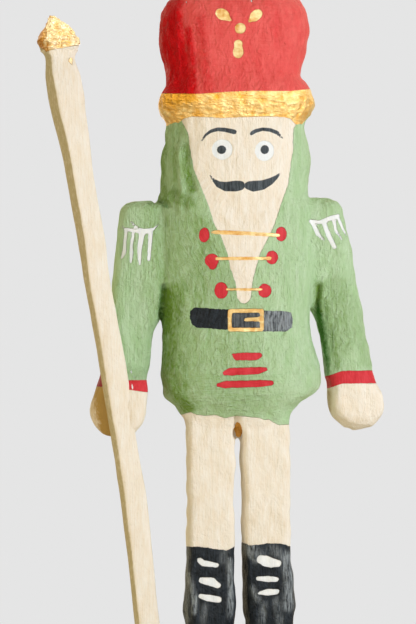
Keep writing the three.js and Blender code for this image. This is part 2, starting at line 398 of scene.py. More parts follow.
def smoothed(surface: Surface, passes: int, strength: float = 0.5) -> Surface:
    """Each vertex moved towards the mean of its neighbours, which rounds the joins between limbs.

    Args:
        surface: What to smooth.
        passes: How often.
        strength: Share of the way that a vertex goes in one pass.

    Returns:
        The smoothed surface.
    """
    faces = surface.faces
    sides = np.concatenate([faces[:, [n, (n + 1) % 4]] for n in range(4)])
    sides = sides[sides[:, 0] != sides[:, 1]]
    both = np.concatenate([sides, sides[:, ::-1]])
    count = len(surface.points)
    start, end = both[:, 0], both[:, 1]
    degree = np.bincount(start, minlength=count)[:, None]
    points = surface.points.copy()
    for _ in range(passes):
        sums = [np.bincount(start, weights=points[end, axis], minlength=count) for axis in range(3)]
        total = np.stack(sums, axis=1)
        points += strength * (total / np.maximum(degree, 1) - points)
    return Surface(points, faces)


# Relief and brushwork as arrays


class Lumps:
    """Soft random relief between -1 and 1: heights at the corners of a lattice, eased in between.

    The three eased shares of the way through a cell blend its eight corners, and the lattice repeats
    every LATTICE cells.
    """

    LATTICE = 32

    def __init__(self, seed: int) -> None:
        """Draws the corner heights.

        Args:
            seed: Start of the random draw.
        """
        side = self.LATTICE
        self.corners = np.random.default_rng(seed).uniform(-1.0, 1.0, (side, side, side))

    def __call__(self, points: np.ndarray, cell: Sequence[float] | float) -> np.ndarray:
        """Reads the relief.

        Args:
            points: An (n, 3) array in millimetres.
            cell: Size of a lump, or its size along X, Y and Z.

        Returns:
            An (n,) array.
        """
        place = points / np.asarray(cell, float) + 100.0
        whole = np.floor(place).astype(int)
        f = place - whole
        ease = f**3 * (f * (6 * f - 15) + 10)
        total = np.zeros(len(points))
        for corner in np.ndindex(2, 2, 2):
            pick = (whole + corner) % self.LATTICE
            share = np.prod(np.where(np.array(corner) == 1, ease, 1 - ease), axis=1)
            total += share * self.corners[pick[:, 0], pick[:, 1], pick[:, 2]]
        return total


def lumpy(
    points: np.ndarray, kinds: Sequence[tuple[int, float | tuple[float, float, float], float]]
) -> np.ndarray:
    """Lumps of several sizes added up.

    Args:
        points: The vertices.
        kinds: The seed, the size and the height of each kind, in millimetres.

    Returns:
        An (n,) array of heights.
    """
    return sum(height * Lumps(seed)(points, size) for seed, size, height in kinds)


def beside(seen: np.ndarray, a: np.ndarray, b: np.ndarray) -> tuple[np.ndarray, np.ndarray]:
    """The nearest point on the straight stretch from a to b, for each of several pixels.

    It is the foot of the perpendicular, held between the stretch's ends.

    Args:
        seen: An (n, 2) array of pixels.
        a: The pixel where the stretch starts.
        b: The pixel where it ends.

    Returns:
        How far along the stretch that point lies, from 0 to 1, and the gap to it.
    """
    along = b - a
    share = np.clip((seen - a) @ along / (along @ along), 0.0, 1.0)
    return share, np.linalg.norm(seen - a - share[:, None] * along, axis=1)


@dataclass(frozen=True)
class Stroke:
    """A single brush stroke, or a groove, along pixels of the photograph.

    Attributes:
        path: The pixels along its middle.
        thick: Its thickness in pixels, one for all or one at each point.
    """

    path: tuple[Pixel, ...]
    thick: tuple[float, ...] | float

    def distance(self, seen: np.ndarray) -> np.ndarray:
        """Signed distance in pixels to the stroke's edge, negative inside.

        It is the gap to the middle line less the half thickness there, at the stretch where that is least.

        Args:
            seen: An (n, 2) array of pixels.

        Returns:
            An (n,) array.
        """
        path = np.array(self.path)
        half = np.broadcast_to(np.asarray(self.thick, float), (len(path),)) / 2
        nearest = np.full(len(seen), np.inf)
        for a, b, start, end in zip(path[:-1], path[1:], half[:-1], half[1:]):
            share, gap = beside(seen, a, b)
            nearest = np.minimum(nearest, gap - start - share * (end - start))
        return nearest


@dataclass(frozen=True)
class Blob:
    """An oval dab of paint, or a round dent.

    Attributes:
        centre: Its middle pixel.
        radii: Its half axes in pixels.
        turn: Degrees by which it is turned, clockwise in the picture.
    """

    centre: Pixel
    radii: Pixel
    turn: float = 0.0

    def distance(self, seen: np.ndarray) -> np.ndarray:
        """Near signed distance in pixels: the oval's level less one, over the slope of that level.

        Args:
            seen: An (n, 2) array of pixels.

        Returns:
            An (n,) array.
        """
        angle = math.radians(self.turn)
        away = seen - np.array(self.centre)
        along = away[:, 0] * math.cos(angle) + away[:, 1] * math.sin(angle)
        aside = away[:, 1] * math.cos(angle) - away[:, 0] * math.sin(angle)
        level = np.hypot(along / self.radii[0], aside / self.radii[1])
        slope = np.hypot(along / self.radii[0] ** 2, aside / self.radii[1] ** 2)
        return np.where(level > 1e-6, level * (level - 1) / np.maximum(slope, 1e-6), -min(self.radii))


@dataclass(frozen=True)
class Patch:
    """A patch of paint with a drawn outline.

    Attributes:
        outline: Its corners in pixels, in order.
    """

    outline: tuple[Pixel, ...]

    def distance(self, seen: np.ndarray) -> np.ndarray:
        """Signed distance in pixels to the outline, negative where a line from the point crosses it oddly.

        Args:
            seen: An (n, 2) array of pixels.

        Returns:
            An (n,) array.
        """
        corners = np.array(self.outline)
        nearest = np.full(len(seen), np.inf)
        inside = np.zeros(len(seen), bool)
        for a, b in zip(corners, np.roll(corners, -1, axis=0)):
            nearest = np.minimum(nearest, beside(seen, a, b)[1])
            if a[1] != b[1]:
                between = (a[1] > seen[:, 1]) != (b[1] > seen[:, 1])
                crossing = a[0] + (seen[:, 1] - a[1]) * (b - a)[0] / (b - a)[1]
                inside ^= between & (seen[:, 0] < crossing)
        return np.where(inside, -nearest, nearest)


@dataclass(frozen=True)
class Line:
    """An edge between two paints that runs across the soldier and on round his back.

    Attributes:
        path: Its pixels, from left to right.
    """

    path: tuple[Pixel, ...]

    def below(self, seen: np.ndarray) -> np.ndarray:
        """Signed distance in pixels, negative below the line in the picture."""
        path = np.array(self.path)
        return np.interp(seen[:, 0], path[:, 0], path[:, 1]) - seen[:, 1]

    def above(self, seen: np.ndarray) -> np.ndarray:
        """Signed distance in pixels, negative above the line in the picture."""
        return -self.below(seen)


def nearest(shapes: Sequence[Stroke | Blob | Patch], seen: np.ndarray) -> np.ndarray:
    """Signed distance in pixels to the nearest of several shapes."""
    return np.min([shape.distance(seen) for shape in shapes], axis=0)


# Paints and the shader


def linear(hex_colour: str) -> tuple[float, float, float, float]:
    """Linear light of an sRGB colour.

    Args:
        hex_colour: Six hex digits after a hash.

    Returns:
        Red, green, blue and an alpha of 1.
    """
    shares = [int(hex_colour[n : n + 2], 16) / 255 for n in (1, 3, 5)]
    light = [s / 12.92 if s <= 0.04045 else ((s + 0.055) / 1.055) ** 2.4 for s in shares]
    return (*light, 1.0)


def node(tree: bpy.types.NodeTree, kind: str, inputs: Mapping[Any, Any], **settings: Any) -> bpy.types.Node:
    """Adds a shader node with its settings, values and links.

    Args:
        tree: Where the node goes.
        kind: Its type's identifier, without the ShaderNode that all begin with.
        inputs: Socket name or number to a value, or to the output socket that feeds it.
        settings: The node's own properties.

    Returns:
        The node.
    """
    made = tree.nodes.new("ShaderNode" + kind)
    for name, value in settings.items():
        setattr(made, name, value)
    for name, value in inputs.items():
        if isinstance(value, bpy.types.NodeSocket):
            tree.links.new(value, made.inputs[name])
        else:
            made.inputs[name].default_value = value
    return made


def emptied(owner: bpy.types.Material | bpy.types.World) -> bpy.types.NodeTree:
    """Switches on the nodes of a new material or world and clears what they start with.

    Args:
        owner: The material or world.

    Returns:
        Its empty node tree.
    """
    owner.use_nodes = True
    owner.node_tree.nodes.clear()
    return owner.node_tree


class Brush(Enum):
    """Which way the brush went: the size in millimetres of a bristle's mark along X, Y and Z."""

    UPRIGHT = (1.25, 1.25, 17.0)
    LEVEL = (13.0, 2.0, 0.9)


@dataclass(frozen=True)
class Paint:
    """A layer of artist's acrylic over sealed paper.

    Attributes:
        name: What it is called here.
        light: Its colour where the coat is thick.
        deep: Its colour in the brush's furrows, where more of what is under it shows.
        thin: Its colour where the mesh's measure says: painted shade on most paints, dry-brush scuffs and
            painted sheen on the black.
        roughness: From 0, a mirror, to 1.
        attribute: The mesh attribute with the signed distance to its edge, or none for a ground.
        crumple_mm: Height of the crumples of the paper under it.
        furrow_mm: Depth of its brush's furrows.
        body_mm: How far its edge stands up from the coat under it.
        ragged_mm: How far its edge wanders.
        metallic: How much of it is metal flake.
        spot_mask: The mesh attribute that tells where its thin colour goes.
        edge_mm: Width over which it gives way to the coat under it.
    """

    name: str
    light: str
    deep: str
    thin: str
    roughness: float
    attribute: str = ""
    crumple_mm: float = 0.4
    furrow_mm: float = 0.2
    body_mm: float = 0.05
    ragged_mm: float = 0.45
    metallic: float = 0.0
    spot_mask: str = "thin"
    edge_mm: float = 0.4


# Matt acrylic, brushed thinly: the light comes back soft. Its darker olive is painted shade, laid as thin
# paint on the left sides of the hood and chest and along the sleeves.
COAT_GREEN = Paint("coat green", "#c7e3be", "#aed49e", "#769e3e", 0.6, "", 2.4, 1.2)
# Darker green painted as shade: in the armpit and shoulder creases, down the shaded inner side of the hanging
# sleeve, and as the staff's shadow on the sleeve above its mitten.
SHADE_GREEN = Paint(
    "green shade", "#4c8432", "#2a5a14", "#2a5a14", 0.6, "green_shade", 1.6, 0.5, 0.0, 1.6, edge_mm=3.5
)
# The same acrylic let down with white, on the face, the breeches and the mittens. Its brown thin tone is
# painted shadow and painted shade on the mittens.
CREAM = Paint("cream", "#f9f5e9", "#f1e6d0", "#b0904f", 0.6, "cream", 0.9, 0.55, 0.04, spot_mask="stained")
# The cream on the staff, with a duller mix painted evenly as shade on its side turned from the key light.
STAFF_CREAM = replace(CREAM, name="staff cream", thin="#bfb48f")
# Black acrylic with a silky top. Its grey is partly rubbed on the ridges by a dry brush and partly painted
# sheen.
BOOT_BLACK = Paint(
    "boot black", "#2e3740", "#020406", "#98a2a8", 0.34, "black", 2.4, 0.9, 0.05, 0.7, spot_mask="scuff"
)
# Red acrylic in one wet coat: its milky light tone is painted sheen for the lit side, and its clear deep red
# is painted shade on the hat's left side.
HAT_RED = Paint("hat red", "#f76e69", "#e94e4d", "#e30914", 0.46, "red", 2.4, 0.5, 0.05, 0.4)
# The same red straight from the tube, on the cuffs, the buttons and the bars. Its dark thin tone is the
# staff's painted shadow on the cuff that holds it.
TRIM_RED = Paint(
    "trim red", "#de434c", "#c6242f", "#86060e", 0.5, "trim", 0.5, 0.2, 0.07, 0.4, spot_mask="stained"
)
# Bronze powder in varnish: metal flakes lie nearly flat and glint where the surface turns to the light. Its
# thin tone is painted shade at the roll's left end.
GILT = Paint("gilt", "#ffe6a6", "#eeac3c", "#f4b43c", 0.32, "gilt", 3.0, 0.1, 0.08, 0.4, 0.5)
# The same gilt laid thickly on the staff's crumpled head: its nearly white light tone is a painted highlight,
# and its dark gold is painted shade on the side turned from the key light.
HEAD_GILT = Paint(
    "head gilt", "#fff8da", "#f0bc5a", "#c07e1c", 0.28, "gilt", 3.6, 0.1, 0.08, 0.4, 0.5, spot_mask="stained"
)
# The same gilt in one stroke of a fine brush: thin enough for the pale coat under it to shine through. Its
# darker thin tone is painted shade where the chest's painted shade reaches the cords and the buckle.
GILT_LINE = Paint("gilt line", "#fff0b4", "#d8932e", "#d89a3a", 0.36, "gilt_line", 0.9, 0.1, 0.12, 0.3, 0.25)
# Opaque white acrylic in single thick strokes that stand up from the coat under them.
WHITE = Paint("white", "#fbffff", "#eaf3f7", "#eaf3f7", 0.5, "white", 0.4, 0.1, 0.18, 0.3)
# Black let down with the same white, drawn with a fine round brush.
INK = Paint("face black", "#59636a", "#161c20", "#7a838a", 0.45, "ink", 0.8, 0.5, 0.06, 0.08)
# Where no paint reached: brown paper soaked with paste.
BARE_PAPER = Paint("bare paper", "#f0b658", "#b87420", "#98662a", 0.7, "bare", 0.9, 0.2, -0.25, 0.6)
FIGURE_PAINTS = (SHADE_GREEN, CREAM, BARE_PAPER, BOOT_BLACK, HAT_RED, TRIM_RED, GILT, GILT_LINE, WHITE, INK)


@dataclass(frozen=True)
class PaintedPaper:
    """Papier-mache under brushed acrylic: a dry, slightly lumpy skin with the brush's furrows in it.

    Attributes:
        name: The material's name.
        ground: The paint under all others.
        layers: The paints over it, in the order they went on.
        pit_mm: Diameter of the pinholes that the paste leaves.
    """

    name: str
    ground: Paint
    layers: tuple[Paint, ...] = ()
    pit_mm: float = 1.2

    # How much of a paint's tone comes from blotches and how much from furrows, and the range they fill.
    BLOTCH_SHARE = 0.75
    FURROW_SHARE = 0.62
    TONE_RANGE = (0.46, 0.88)
    # How plainly the furrows break up the thin colour: black was dragged on dry, the others lie wet.
    DRY_STREAKS = 2.4
    WET_STREAKS = 0.6
    # Pinholes to a millimetre along each axis, and their depth in millimetres.
    PITS_PER_MM = 0.11
    PIT_DEPTH_MM = 0.3
    # The slanting strokes on the chest: the point they turn about in millimetres, and their angle.
    SLANT_CENTRE = (-38.0, -30.0, 395.0)
    SLANT_DEG = 28
    # Marks to a millimetre along each axis: a coat's blotches, the dabs on gilt, the strays of an edge.
    BLOTCHES = (0.15, 0.15, 0.05)
    DABS = (0.17, 0.17, 0.32)
    STRAYS = (0.28, 0.28, 0.28)
    # The height under which the thin colour sets in, how fast it grows, and how much it adds to the mesh's
    # measure of painted shade, scuffs and painted sheen.
    SHADE_AND_WEAR_HEIGHT = 0.62
    SHADE_AND_WEAR_GAIN = 1.8
    SHADE_AND_WEAR_SHARE = 1.2
    # How much more of the paper's relief shows where the mesh's thin measure lies.
    BARED_RELIEF = 1.2
    # Chalky paint gives back little of its own gloss.
    GLOSS = 0.15

    def build(self) -> bpy.types.Material:
        """Builds the material.

        Returns:
            A material whose colour, roughness, metal and bump come from the layers in their order.
        """
        material = bpy.data.materials.new(self.name)
        tree = emptied(material)
        place = node(
            tree,
            "VectorMath",
            {0: node(tree, "TexCoord", {}).outputs["Object"], "Scale": 1 / MM},
            operation="SCALE",
        ).outputs[0]
        brushed = self._brushed(tree, place)
        furrows = self._furrows(tree, place, brushed)
        blotches = self._noise(tree, brushed, self.BLOTCHES, 4.0)
        wrinkles = self._wrinkles(tree, place)
        dabs = self._noise(tree, place, self.DABS, 3.0)
        wander = self._wander(tree, place)
        spot_mask = {
            name: self._shade_and_wear(tree, furrows, wrinkles, name)
            for name in sorted({paint.spot_mask for paint in (self.ground, *self.layers)})
        }

        def shade(paint: Paint) -> bpy.types.NodeSocket:
            """A paint's colour, from its deep to its light tone with the furrows, then mixed to its thin
            colour: painted shade, and on the black scuffs and painted sheen.

            Args:
                paint: The paint.

            Returns:
                Its colour.
            """
            marks = dabs if paint.metallic else furrows
            lift = node(tree, "Math", {0: marks, 1: self.FURROW_SHARE}, operation="MULTIPLY").outputs[0]
            tone = node(
                tree, "Math", {0: blotches, 1: self.BLOTCH_SHARE, 2: lift}, operation="MULTIPLY_ADD"
            ).outputs[0]
            low, high = self.TONE_RANGE
            even = node(tree, "MapRange", {0: tone, "From Min": low, "From Max": high}).outputs[0]
            coat = node(
                tree,
                "Mix",
                {0: even, 6: linear(paint.deep), 7: linear(paint.light)},
                data_type="RGBA",
            ).outputs[2]
            return node(
                tree, "Mix", {0: spot_mask[paint.spot_mask], 6: coat, 7: linear(paint.thin)}, data_type="RGBA"
            ).outputs[2]

        def relief(paint: Paint) -> bpy.types.NodeSocket:
            """The paper's crumples and the brush's furrows under a paint, in millimetres.

            Args:
                paint: The paint.

            Returns:
                Their height.
            """
            brush = node(tree, "Math", {0: furrows, 1: paint.furrow_mm}, operation="MULTIPLY")
            crumples = dabs if paint.metallic else wrinkles
            return node(
                tree,
                "Math",
                {0: crumples, 1: paint.crumple_mm, 2: brush.outputs[0]},
                operation="MULTIPLY_ADD",
            ).outputs[0]

        colour = shade(self.ground)
        roughness: Any = self.ground.roughness
        metallic: Any = 0.0
        under = relief(self.ground)
        coats: Any = 0.0
        for layer in self.layers:
            distance = node(tree, "Attribute", {}, attribute_name=layer.attribute).outputs["Fac"]
            ragged = node(
                tree, "Math", {0: wander, 1: layer.ragged_mm, 2: distance}, operation="MULTIPLY_ADD"
            ).outputs[0]
            cover = node(
                tree,
                "MapRange",
                {0: ragged, "From Min": layer.edge_mm / 2, "From Max": -layer.edge_mm / 2},
            ).outputs[0]
            colour = node(
                tree, "Mix", {0: cover, 6: colour, 7: shade(layer)}, data_type="RGBA"
            ).outputs[2]
            roughness = node(
                tree, "Mix", {0: cover, 2: roughness, 3: layer.roughness}, data_type="FLOAT"
            ).outputs[0]
            metallic = node(
                tree, "Mix", {0: cover, 2: metallic, 3: layer.metallic}, data_type="FLOAT"
            ).outputs[0]
            under = node(
                tree, "Mix", {0: cover, 2: under, 3: relief(layer)}, data_type="FLOAT"
            ).outputs[0]
            coats = node(
                tree, "Math", {0: cover, 1: layer.body_mm, 2: coats}, operation="MULTIPLY_ADD"
            ).outputs[0]
        thin = node(tree, "Attribute", {}, attribute_name="thin").outputs["Fac"]
        bared = node(
            tree, "Math", {0: thin, 1: self.BARED_RELIEF, 2: 1.0}, operation="MULTIPLY_ADD"
        ).outputs[0]
        height = node(tree, "Math", {0: under, 1: bared, 2: coats}, operation="MULTIPLY_ADD").outputs[0]
        height = self._pits(tree, place, height)
        bump = node(tree, "Bump", {"Height": height, "Distance": MM, "Strength": 1.0})
        shader = node(
            tree,
            "BsdfPrincipled",
            {
                "Base Color": colour,
                "Roughness": roughness,
                "Metallic": metallic,
                "Normal": bump.outputs[0],
                "Specular IOR Level": self.GLOSS,
            },
        )
        node(tree, "OutputMaterial", {"Surface": shader.outputs[0]})
        return material

    def _noise(
        self, tree: bpy.types.NodeTree, place: bpy.types.NodeSocket, per_mm: Sequence[float], detail: float
    ) -> bpy.types.NodeSocket:
        """Noise whose marks measure one over per_mm along each axis.

        Args:
            tree: The material's nodes.
            place: Places in millimetres.
            per_mm: Marks to a millimetre along X, Y and Z.
            detail: How many finer noises are added.

        Returns:
            Values from 0 to 1.
        """
        squeezed = node(
            tree, "VectorMath", {0: place, 1: tuple(per_mm)}, operation="MULTIPLY"
        ).outputs[0]
        made = node(
            tree, "TexNoise", {"Vector": squeezed, "Scale": 1.0, "Detail": detail, "Roughness": 0.58}
        )
        return made.outputs[0]

    def _brushed(self, tree: bpy.types.NodeTree, place: bpy.types.NodeSocket) -> bpy.types.NodeSocket:
        """Places turned about the chest where the brush fell aslant, so that upright marks slant there.

        Args:
            tree: The material's nodes.
            place: Places in millimetres.

        Returns:
            The turned places.
        """
        turned = node(
            tree,
            "VectorRotate",
            {"Vector": place, "Center": self.SLANT_CENTRE, "Angle": math.radians(self.SLANT_DEG)},
            rotation_type="Y_AXIS",
        ).outputs[0]
        fanned = node(tree, "Attribute", {}, attribute_name="slant").outputs["Fac"]
        return node(
            tree, "Mix", {0: fanned, 4: place, 5: turned}, data_type="VECTOR"
        ).outputs[1]

    def _furrows(
        self, tree: bpy.types.NodeTree, place: bpy.types.NodeSocket, brushed: bpy.types.NodeSocket
    ) -> bpy.types.NodeSocket:
        """The brush's furrows, upright, slanting or level where the mesh says so.

        Args:
            tree: The material's nodes.
            place: Places in millimetres.
            brushed: The same, turned where the brush fell aslant.

        Returns:
            Heights from 0 to 1.
        """
        along = self._noise(tree, brushed, [1 / mm for mm in Brush.UPRIGHT.value], 2.0)
        across = self._noise(tree, place, [1 / mm for mm in Brush.LEVEL.value], 2.0)
        crossed = node(tree, "Attribute", {}, attribute_name="level").outputs["Fac"]
        return node(tree, "Mix", {0: crossed, 2: along, 3: across}, data_type="FLOAT").outputs[0]

    def _shade_and_wear(
        self,
        tree: bpy.types.NodeTree,
        furrows: bpy.types.NodeSocket,
        wrinkles: bpy.types.NodeSocket,
        attribute: str,
    ) -> bpy.types.NodeSocket:
        """How much of the thin colour shows, from 0 to 1: the mesh's own measure, more in hollows and less on
        ridges.

        Args:
            tree: The material's nodes.
            furrows: The brush's furrows.
            wrinkles: The paper's.
            attribute: The mesh's measure of painted shade; for the black, of scuffs and painted sheen.

        Returns:
            Values from 0 to 1.
        """
        measure = node(tree, "Attribute", {}, attribute_name=attribute).outputs["Fac"]
        streaks = self.DRY_STREAKS if attribute == BOOT_BLACK.spot_mask else self.WET_STREAKS
        raised = node(
            tree, "Math", {0: furrows, 1: streaks, 2: wrinkles}, operation="MULTIPLY_ADD"
        ).outputs[0]
        hollow = node(
            tree, "Math", {0: self.SHADE_AND_WEAR_HEIGHT + streaks / 2, 1: raised}, operation="SUBTRACT"
        ).outputs[0]
        strength = node(
            tree, "Math", {0: measure, 1: self.SHADE_AND_WEAR_GAIN}, operation="MULTIPLY", use_clamp=True
        ).outputs[0]
        uneven = node(tree, "Math", {0: hollow, 1: strength}, operation="MULTIPLY").outputs[0]
        sockets = {0: uneven, 1: self.SHADE_AND_WEAR_SHARE, 2: measure}
        return node(tree, "Math", sockets, operation="MULTIPLY_ADD", use_clamp=True).outputs[0]

    def _wander(self, tree: bpy.types.NodeTree, place: bpy.types.NodeSocket) -> bpy.types.NodeSocket:
        """How far a painted edge strays to either side of its line.

        Args:
            tree: The material's nodes.
            place: Places in millimetres.

        Returns:
            About from -1 to 1.
        """
        noise = self._noise(tree, place, self.STRAYS, 2.0)
        return node(
            tree, "Math", {0: noise, 1: 3.0, 2: -1.5}, operation="MULTIPLY_ADD"
        ).outputs[0]

    def _wrinkles(self, tree: bpy.types.NodeTree, place: bpy.types.NodeSocket) -> bpy.types.NodeSocket:
        """Fine wrinkles some 3 mm apart, warped so that they cross and fork, and sharp creases 5 mm apart.

        Args:
            tree: The material's nodes.
            place: Places in millimetres.

        Returns:
            Their height, about from 0 to 1.
        """
        warp = node(tree, "TexNoise", {"Vector": place, "Scale": 0.12, "Detail": 1.0}).outputs[1]
        bent = node(
            tree,
            "VectorMath",
            {0: warp, 1: (7.0, 7.0, 7.0), 2: place},
            operation="MULTIPLY_ADD",
        ).outputs[0]
        soft = self._noise(tree, bent, (0.34, 0.34, 0.2), 5.0)
        centred = node(
            tree,
            "Math",
            {0: self._noise(tree, bent, (0.2, 0.2, 0.11), 3.0), 1: 0.5},
            operation="SUBTRACT",
        ).outputs[0]
        crease = node(tree, "Math", {0: centred}, operation="ABSOLUTE").outputs[0]
        return node(tree, "Math", {0: crease, 1: 1.2, 2: soft}, operation="MULTIPLY_ADD").outputs[0]

    def _pits(
        self, tree: bpy.types.NodeTree, place: bpy.types.NodeSocket, height: bpy.types.NodeSocket
    ) -> bpy.types.NodeSocket:
        """Takes scattered pinholes out of the height.

        Args:
            tree: The material's nodes.
            place: Places in millimetres.
            height: The height before.

        Returns:
            The height with the holes in it.
        """
        distance = node(tree, "TexVoronoi", {"Vector": place, "Scale": self.PITS_PER_MM}).outputs["Distance"]
        rim = self.pit_mm * self.PITS_PER_MM / 2
        span = {"From Min": 0.0, "From Max": rim, "To Min": self.PIT_DEPTH_MM, "To Max": 0.0}
        hole = node(tree, "MapRange", {0: distance, **span}).outputs[0]
        return node(tree, "Math", {0: height, 1: hole}, operation="SUBTRACT").outputs[0]


def finish_piece(
    name: str, surface: Surface, attributes: Mapping[str, np.ndarray], material: bpy.types.Material
) -> bpy.types.Object:
    """Makes an object of a surface, with its attributes and material.

    Args:
        name: The piece's name.
        surface: Its shape.
        attributes: Name to one value for each vertex.
        material: Its finish.

    Returns:
        The object, at the origin.
    """
    mesh = write_mesh(name, surface)
    for label, values in attributes.items():
        mesh.attributes.new(label, "FLOAT", "POINT").data.foreach_set("value", values.astype(np.float32))
    mesh.materials.append(material)
    piece = bpy.data.objects.new(name, mesh)
    bpy.context.scene.collection.objects.link(piece)
    return piece


# The figure


@dataclass(frozen=True)
class Groove:
    """A crease or a ridge that shows at one spot.

    Attributes:
        shape: Where it lies in the photograph.
        depth_mm: How far it is pressed in, negative for a ridge.
        soft_mm: How far outside the shape it fades away.
    """

    shape: Stroke | Blob | Patch
    depth_mm: float
    soft_mm: float


@dataclass
class Soldier:
    """The moulded figure, from the crown of the hat to the soles.

    Attributes:
        view: The photograph's viewpoint.
        cell_mm: Side of the skin's faces.
        blending: Passes of smoothing that round the joins.
    """

    view: Viewpoint
    cell_mm: float = 1.9
    blending: int = 3

    # Hat, gilt roll, hooded head and coat, down to the hem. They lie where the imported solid's do, with
    # rounder sections from above the coat's fullest line to below the hat.
    TRUNK = stations(
        (376, 0, 0, 66, 30, 4), (381, 0, 0, 73, 34, 4), (392, 0, 0, 76, 38, 3.6),
        (404, -1, 0, 83, 44, 3.2), (414, -2, 0, 94, 50, 3), (425, 3, 0, 107, 55, 3),
        (437, 7, 0, 112, 57, 3), (450, 7, 0, 114, 58, 3), (473, 6, 0, 112, 58, 2.3),
        (496, 3, 0, 108, 57, 2.3), (530, 1, 0, 105, 56, 2.3), (570, 0, 0, 110, 56, 2.3),
        (630, 0, 0, 114, 56, 2.3), (672, 0, 0, 115, 56, 2.3), (692, -2, 0, 111, 56, 2.3),
        (706, -3, 0, 106, 56, 2.3), (724, -1, 0, 105, 56, 2.3), (750, 0, 0, 107, 57, 2.3),
        (780, 1, 0, 103, 57, 2.3), (804, 0, 0, 97, 57, 2.7), (813, -1, 0, 101, 59, 2.7),
        (824, -1, 0, 109, 62, 2.7), (838, 1, 0, 112, 64, 2.7), (852, 2, 0, 108, 63, 2.7),
        (864, 1, 0, 101, 60, 2.7), (878, -4, 0, 96, 58, 2.6), (900, -4, 0, 100, 60, 2.6),
        (920, -4, 0, 105, 63, 2.6), (942, -3, 0, 107, 64, 2.6), (960, -3, 0, 105, 62, 2.6),
        (976, -3, 0, 98, 57, 2.6), (988, -1, 0, 86, 48, 2.5), (996, 0, 0, 66, 34, 2.4),
        (1000, 0, 0, 34, 16, 2.2),
    )
    # The arm that holds the staff, from the end of the mitten to the shoulder.
    STAFF_ARM = stations(
        (366, -170, 0, 9, 8, 2.2), (370.5, -169.5, 0, 20, 18, 2.4), (376, -169.5, 0, 25.5, 23, 2.6),
        (383, -170.3, 0, 30.5, 27, 2.8), (393, -169, 0, 35, 31, 3.2), (401, -169, 0, 36.4, 32, 3.4),
        (415, -167.5, 0, 36.8, 33, 3.4), (433, -163, 0, 35, 32, 3.4), (449, -160, 0, 33, 29, 3.4),
        (460, -158, 0, 34, 28, 3.2), (510, -152, 0, 33, 28, 3.2), (530, -147, 0, 36, 28, 3),
        (558, -138, 0, 41, 28, 3), (581, -135, 0, 41, 28, 3), (615, -131, 0, 41, 28, 3),
        (655, -129, 0, 39, 28, 3), (684, -129, 0, 35, 27, 3), (694, -132, 0, 23, 20, 2.8),
        (697, -134, 0, 12, 11, 2.5),
    )
    # The hanging arm.
    FREE_ARM = stations(
        (371, 175, 0, 8, 8, 2.2), (375, 175, 0, 17, 17, 2.6), (384, 175, 0, 28, 24, 3.2),
        (396, 175, 0, 34.6, 29.4, 5), (412, 174, 0, 37, 31, 8), (425, 172, 0, 36, 31, 8),
        (438, 168, 0, 33.4, 30, 6), (457, 164, 2, 33, 29, 3.2), (486, 160.5, 6, 33, 29, 2.6),
        (515, 156, 10, 33.4, 29, 2.4), (534, 152, 13, 35, 29, 2.4), (560, 142, 14, 40, 28, 2.4),
        (582, 136, 12, 42, 28, 2.6), (615, 129, 6, 42, 28, 2.8), (655, 124, 0, 36, 28, 3),
        (686, 121, 0, 33, 27, 3), (699, 122, 0, 24, 20, 2.8), (703, 122, 0, 14, 12, 2.5),
    )
    # A leg and its boot about their own middle, and how far the left boot drifts outwards.
    LEG = stations(
        (0, 0, -24, 31, 55, 2.8), (6, 0, -25, 34, 59, 2.8), (18, 0, -25, 35, 60, 2.8),
        (34, 0, -20, 34, 54, 2.8), (52, 0, -9, 32, 42, 3), (70, 0, -3, 30, 34, 3.2),
        (94, 0, 0, 32, 33, 4), (118, 0, 0, 36, 34, 4.4), (150, 0, 0, 34.4, 34, 6),
        (204, 0, -2, 32.4, 31, 9), (240, 0, -5, 32.4, 27, 9), (320, 0, -6, 32.8, 26, 9),
        (380, 0, -5, 34.6, 27, 7), (420, 0, -2, 35, 31, 5),
    )
    LEFT_DRIFT = (4, 4, 4, 4, 4, 4, 6, 6.5, 5.5, 2, 1, 0.5, -1, -1)
    RIGHT_LEG_X = -37
    LEFT_LEG_X = 41
    # The paste that runs from the mitten up over the inner side of the staff.
    GRIP = stations(
        (367, -160.5, -20, 5.5, 14, 2.4), (372, -157.5, -25, 8.5, 24, 3),
        (380, -153.5, -27, 12.5, 30, 4), (391, -150, -27, 16, 31, 5), (405, -148.2, -27, 17.8, 31, 5),
        (416, -147.6, -27, 18.4, 31, 5), (426, -147.6, -26, 18.4, 30, 5),
        (446, -147.2, -23, 17.2, 27, 4.6), (462, -147.6, -14, 15, 20, 3.4), (480, -149, -5, 9, 11, 2.4),
    )
    # The paste that closes the fork of the breeches, set back from their front.
    FORK = stations(
        (360, 2, 0, 3, 8, 2), (366, 2.5, 0, 6, 14, 2.2), (377, 3, 0, 10, 20, 2.4),
        (387, 3, 0, 13, 23, 2.6), (402, 3, 0, 16, 26, 2.6),
    )

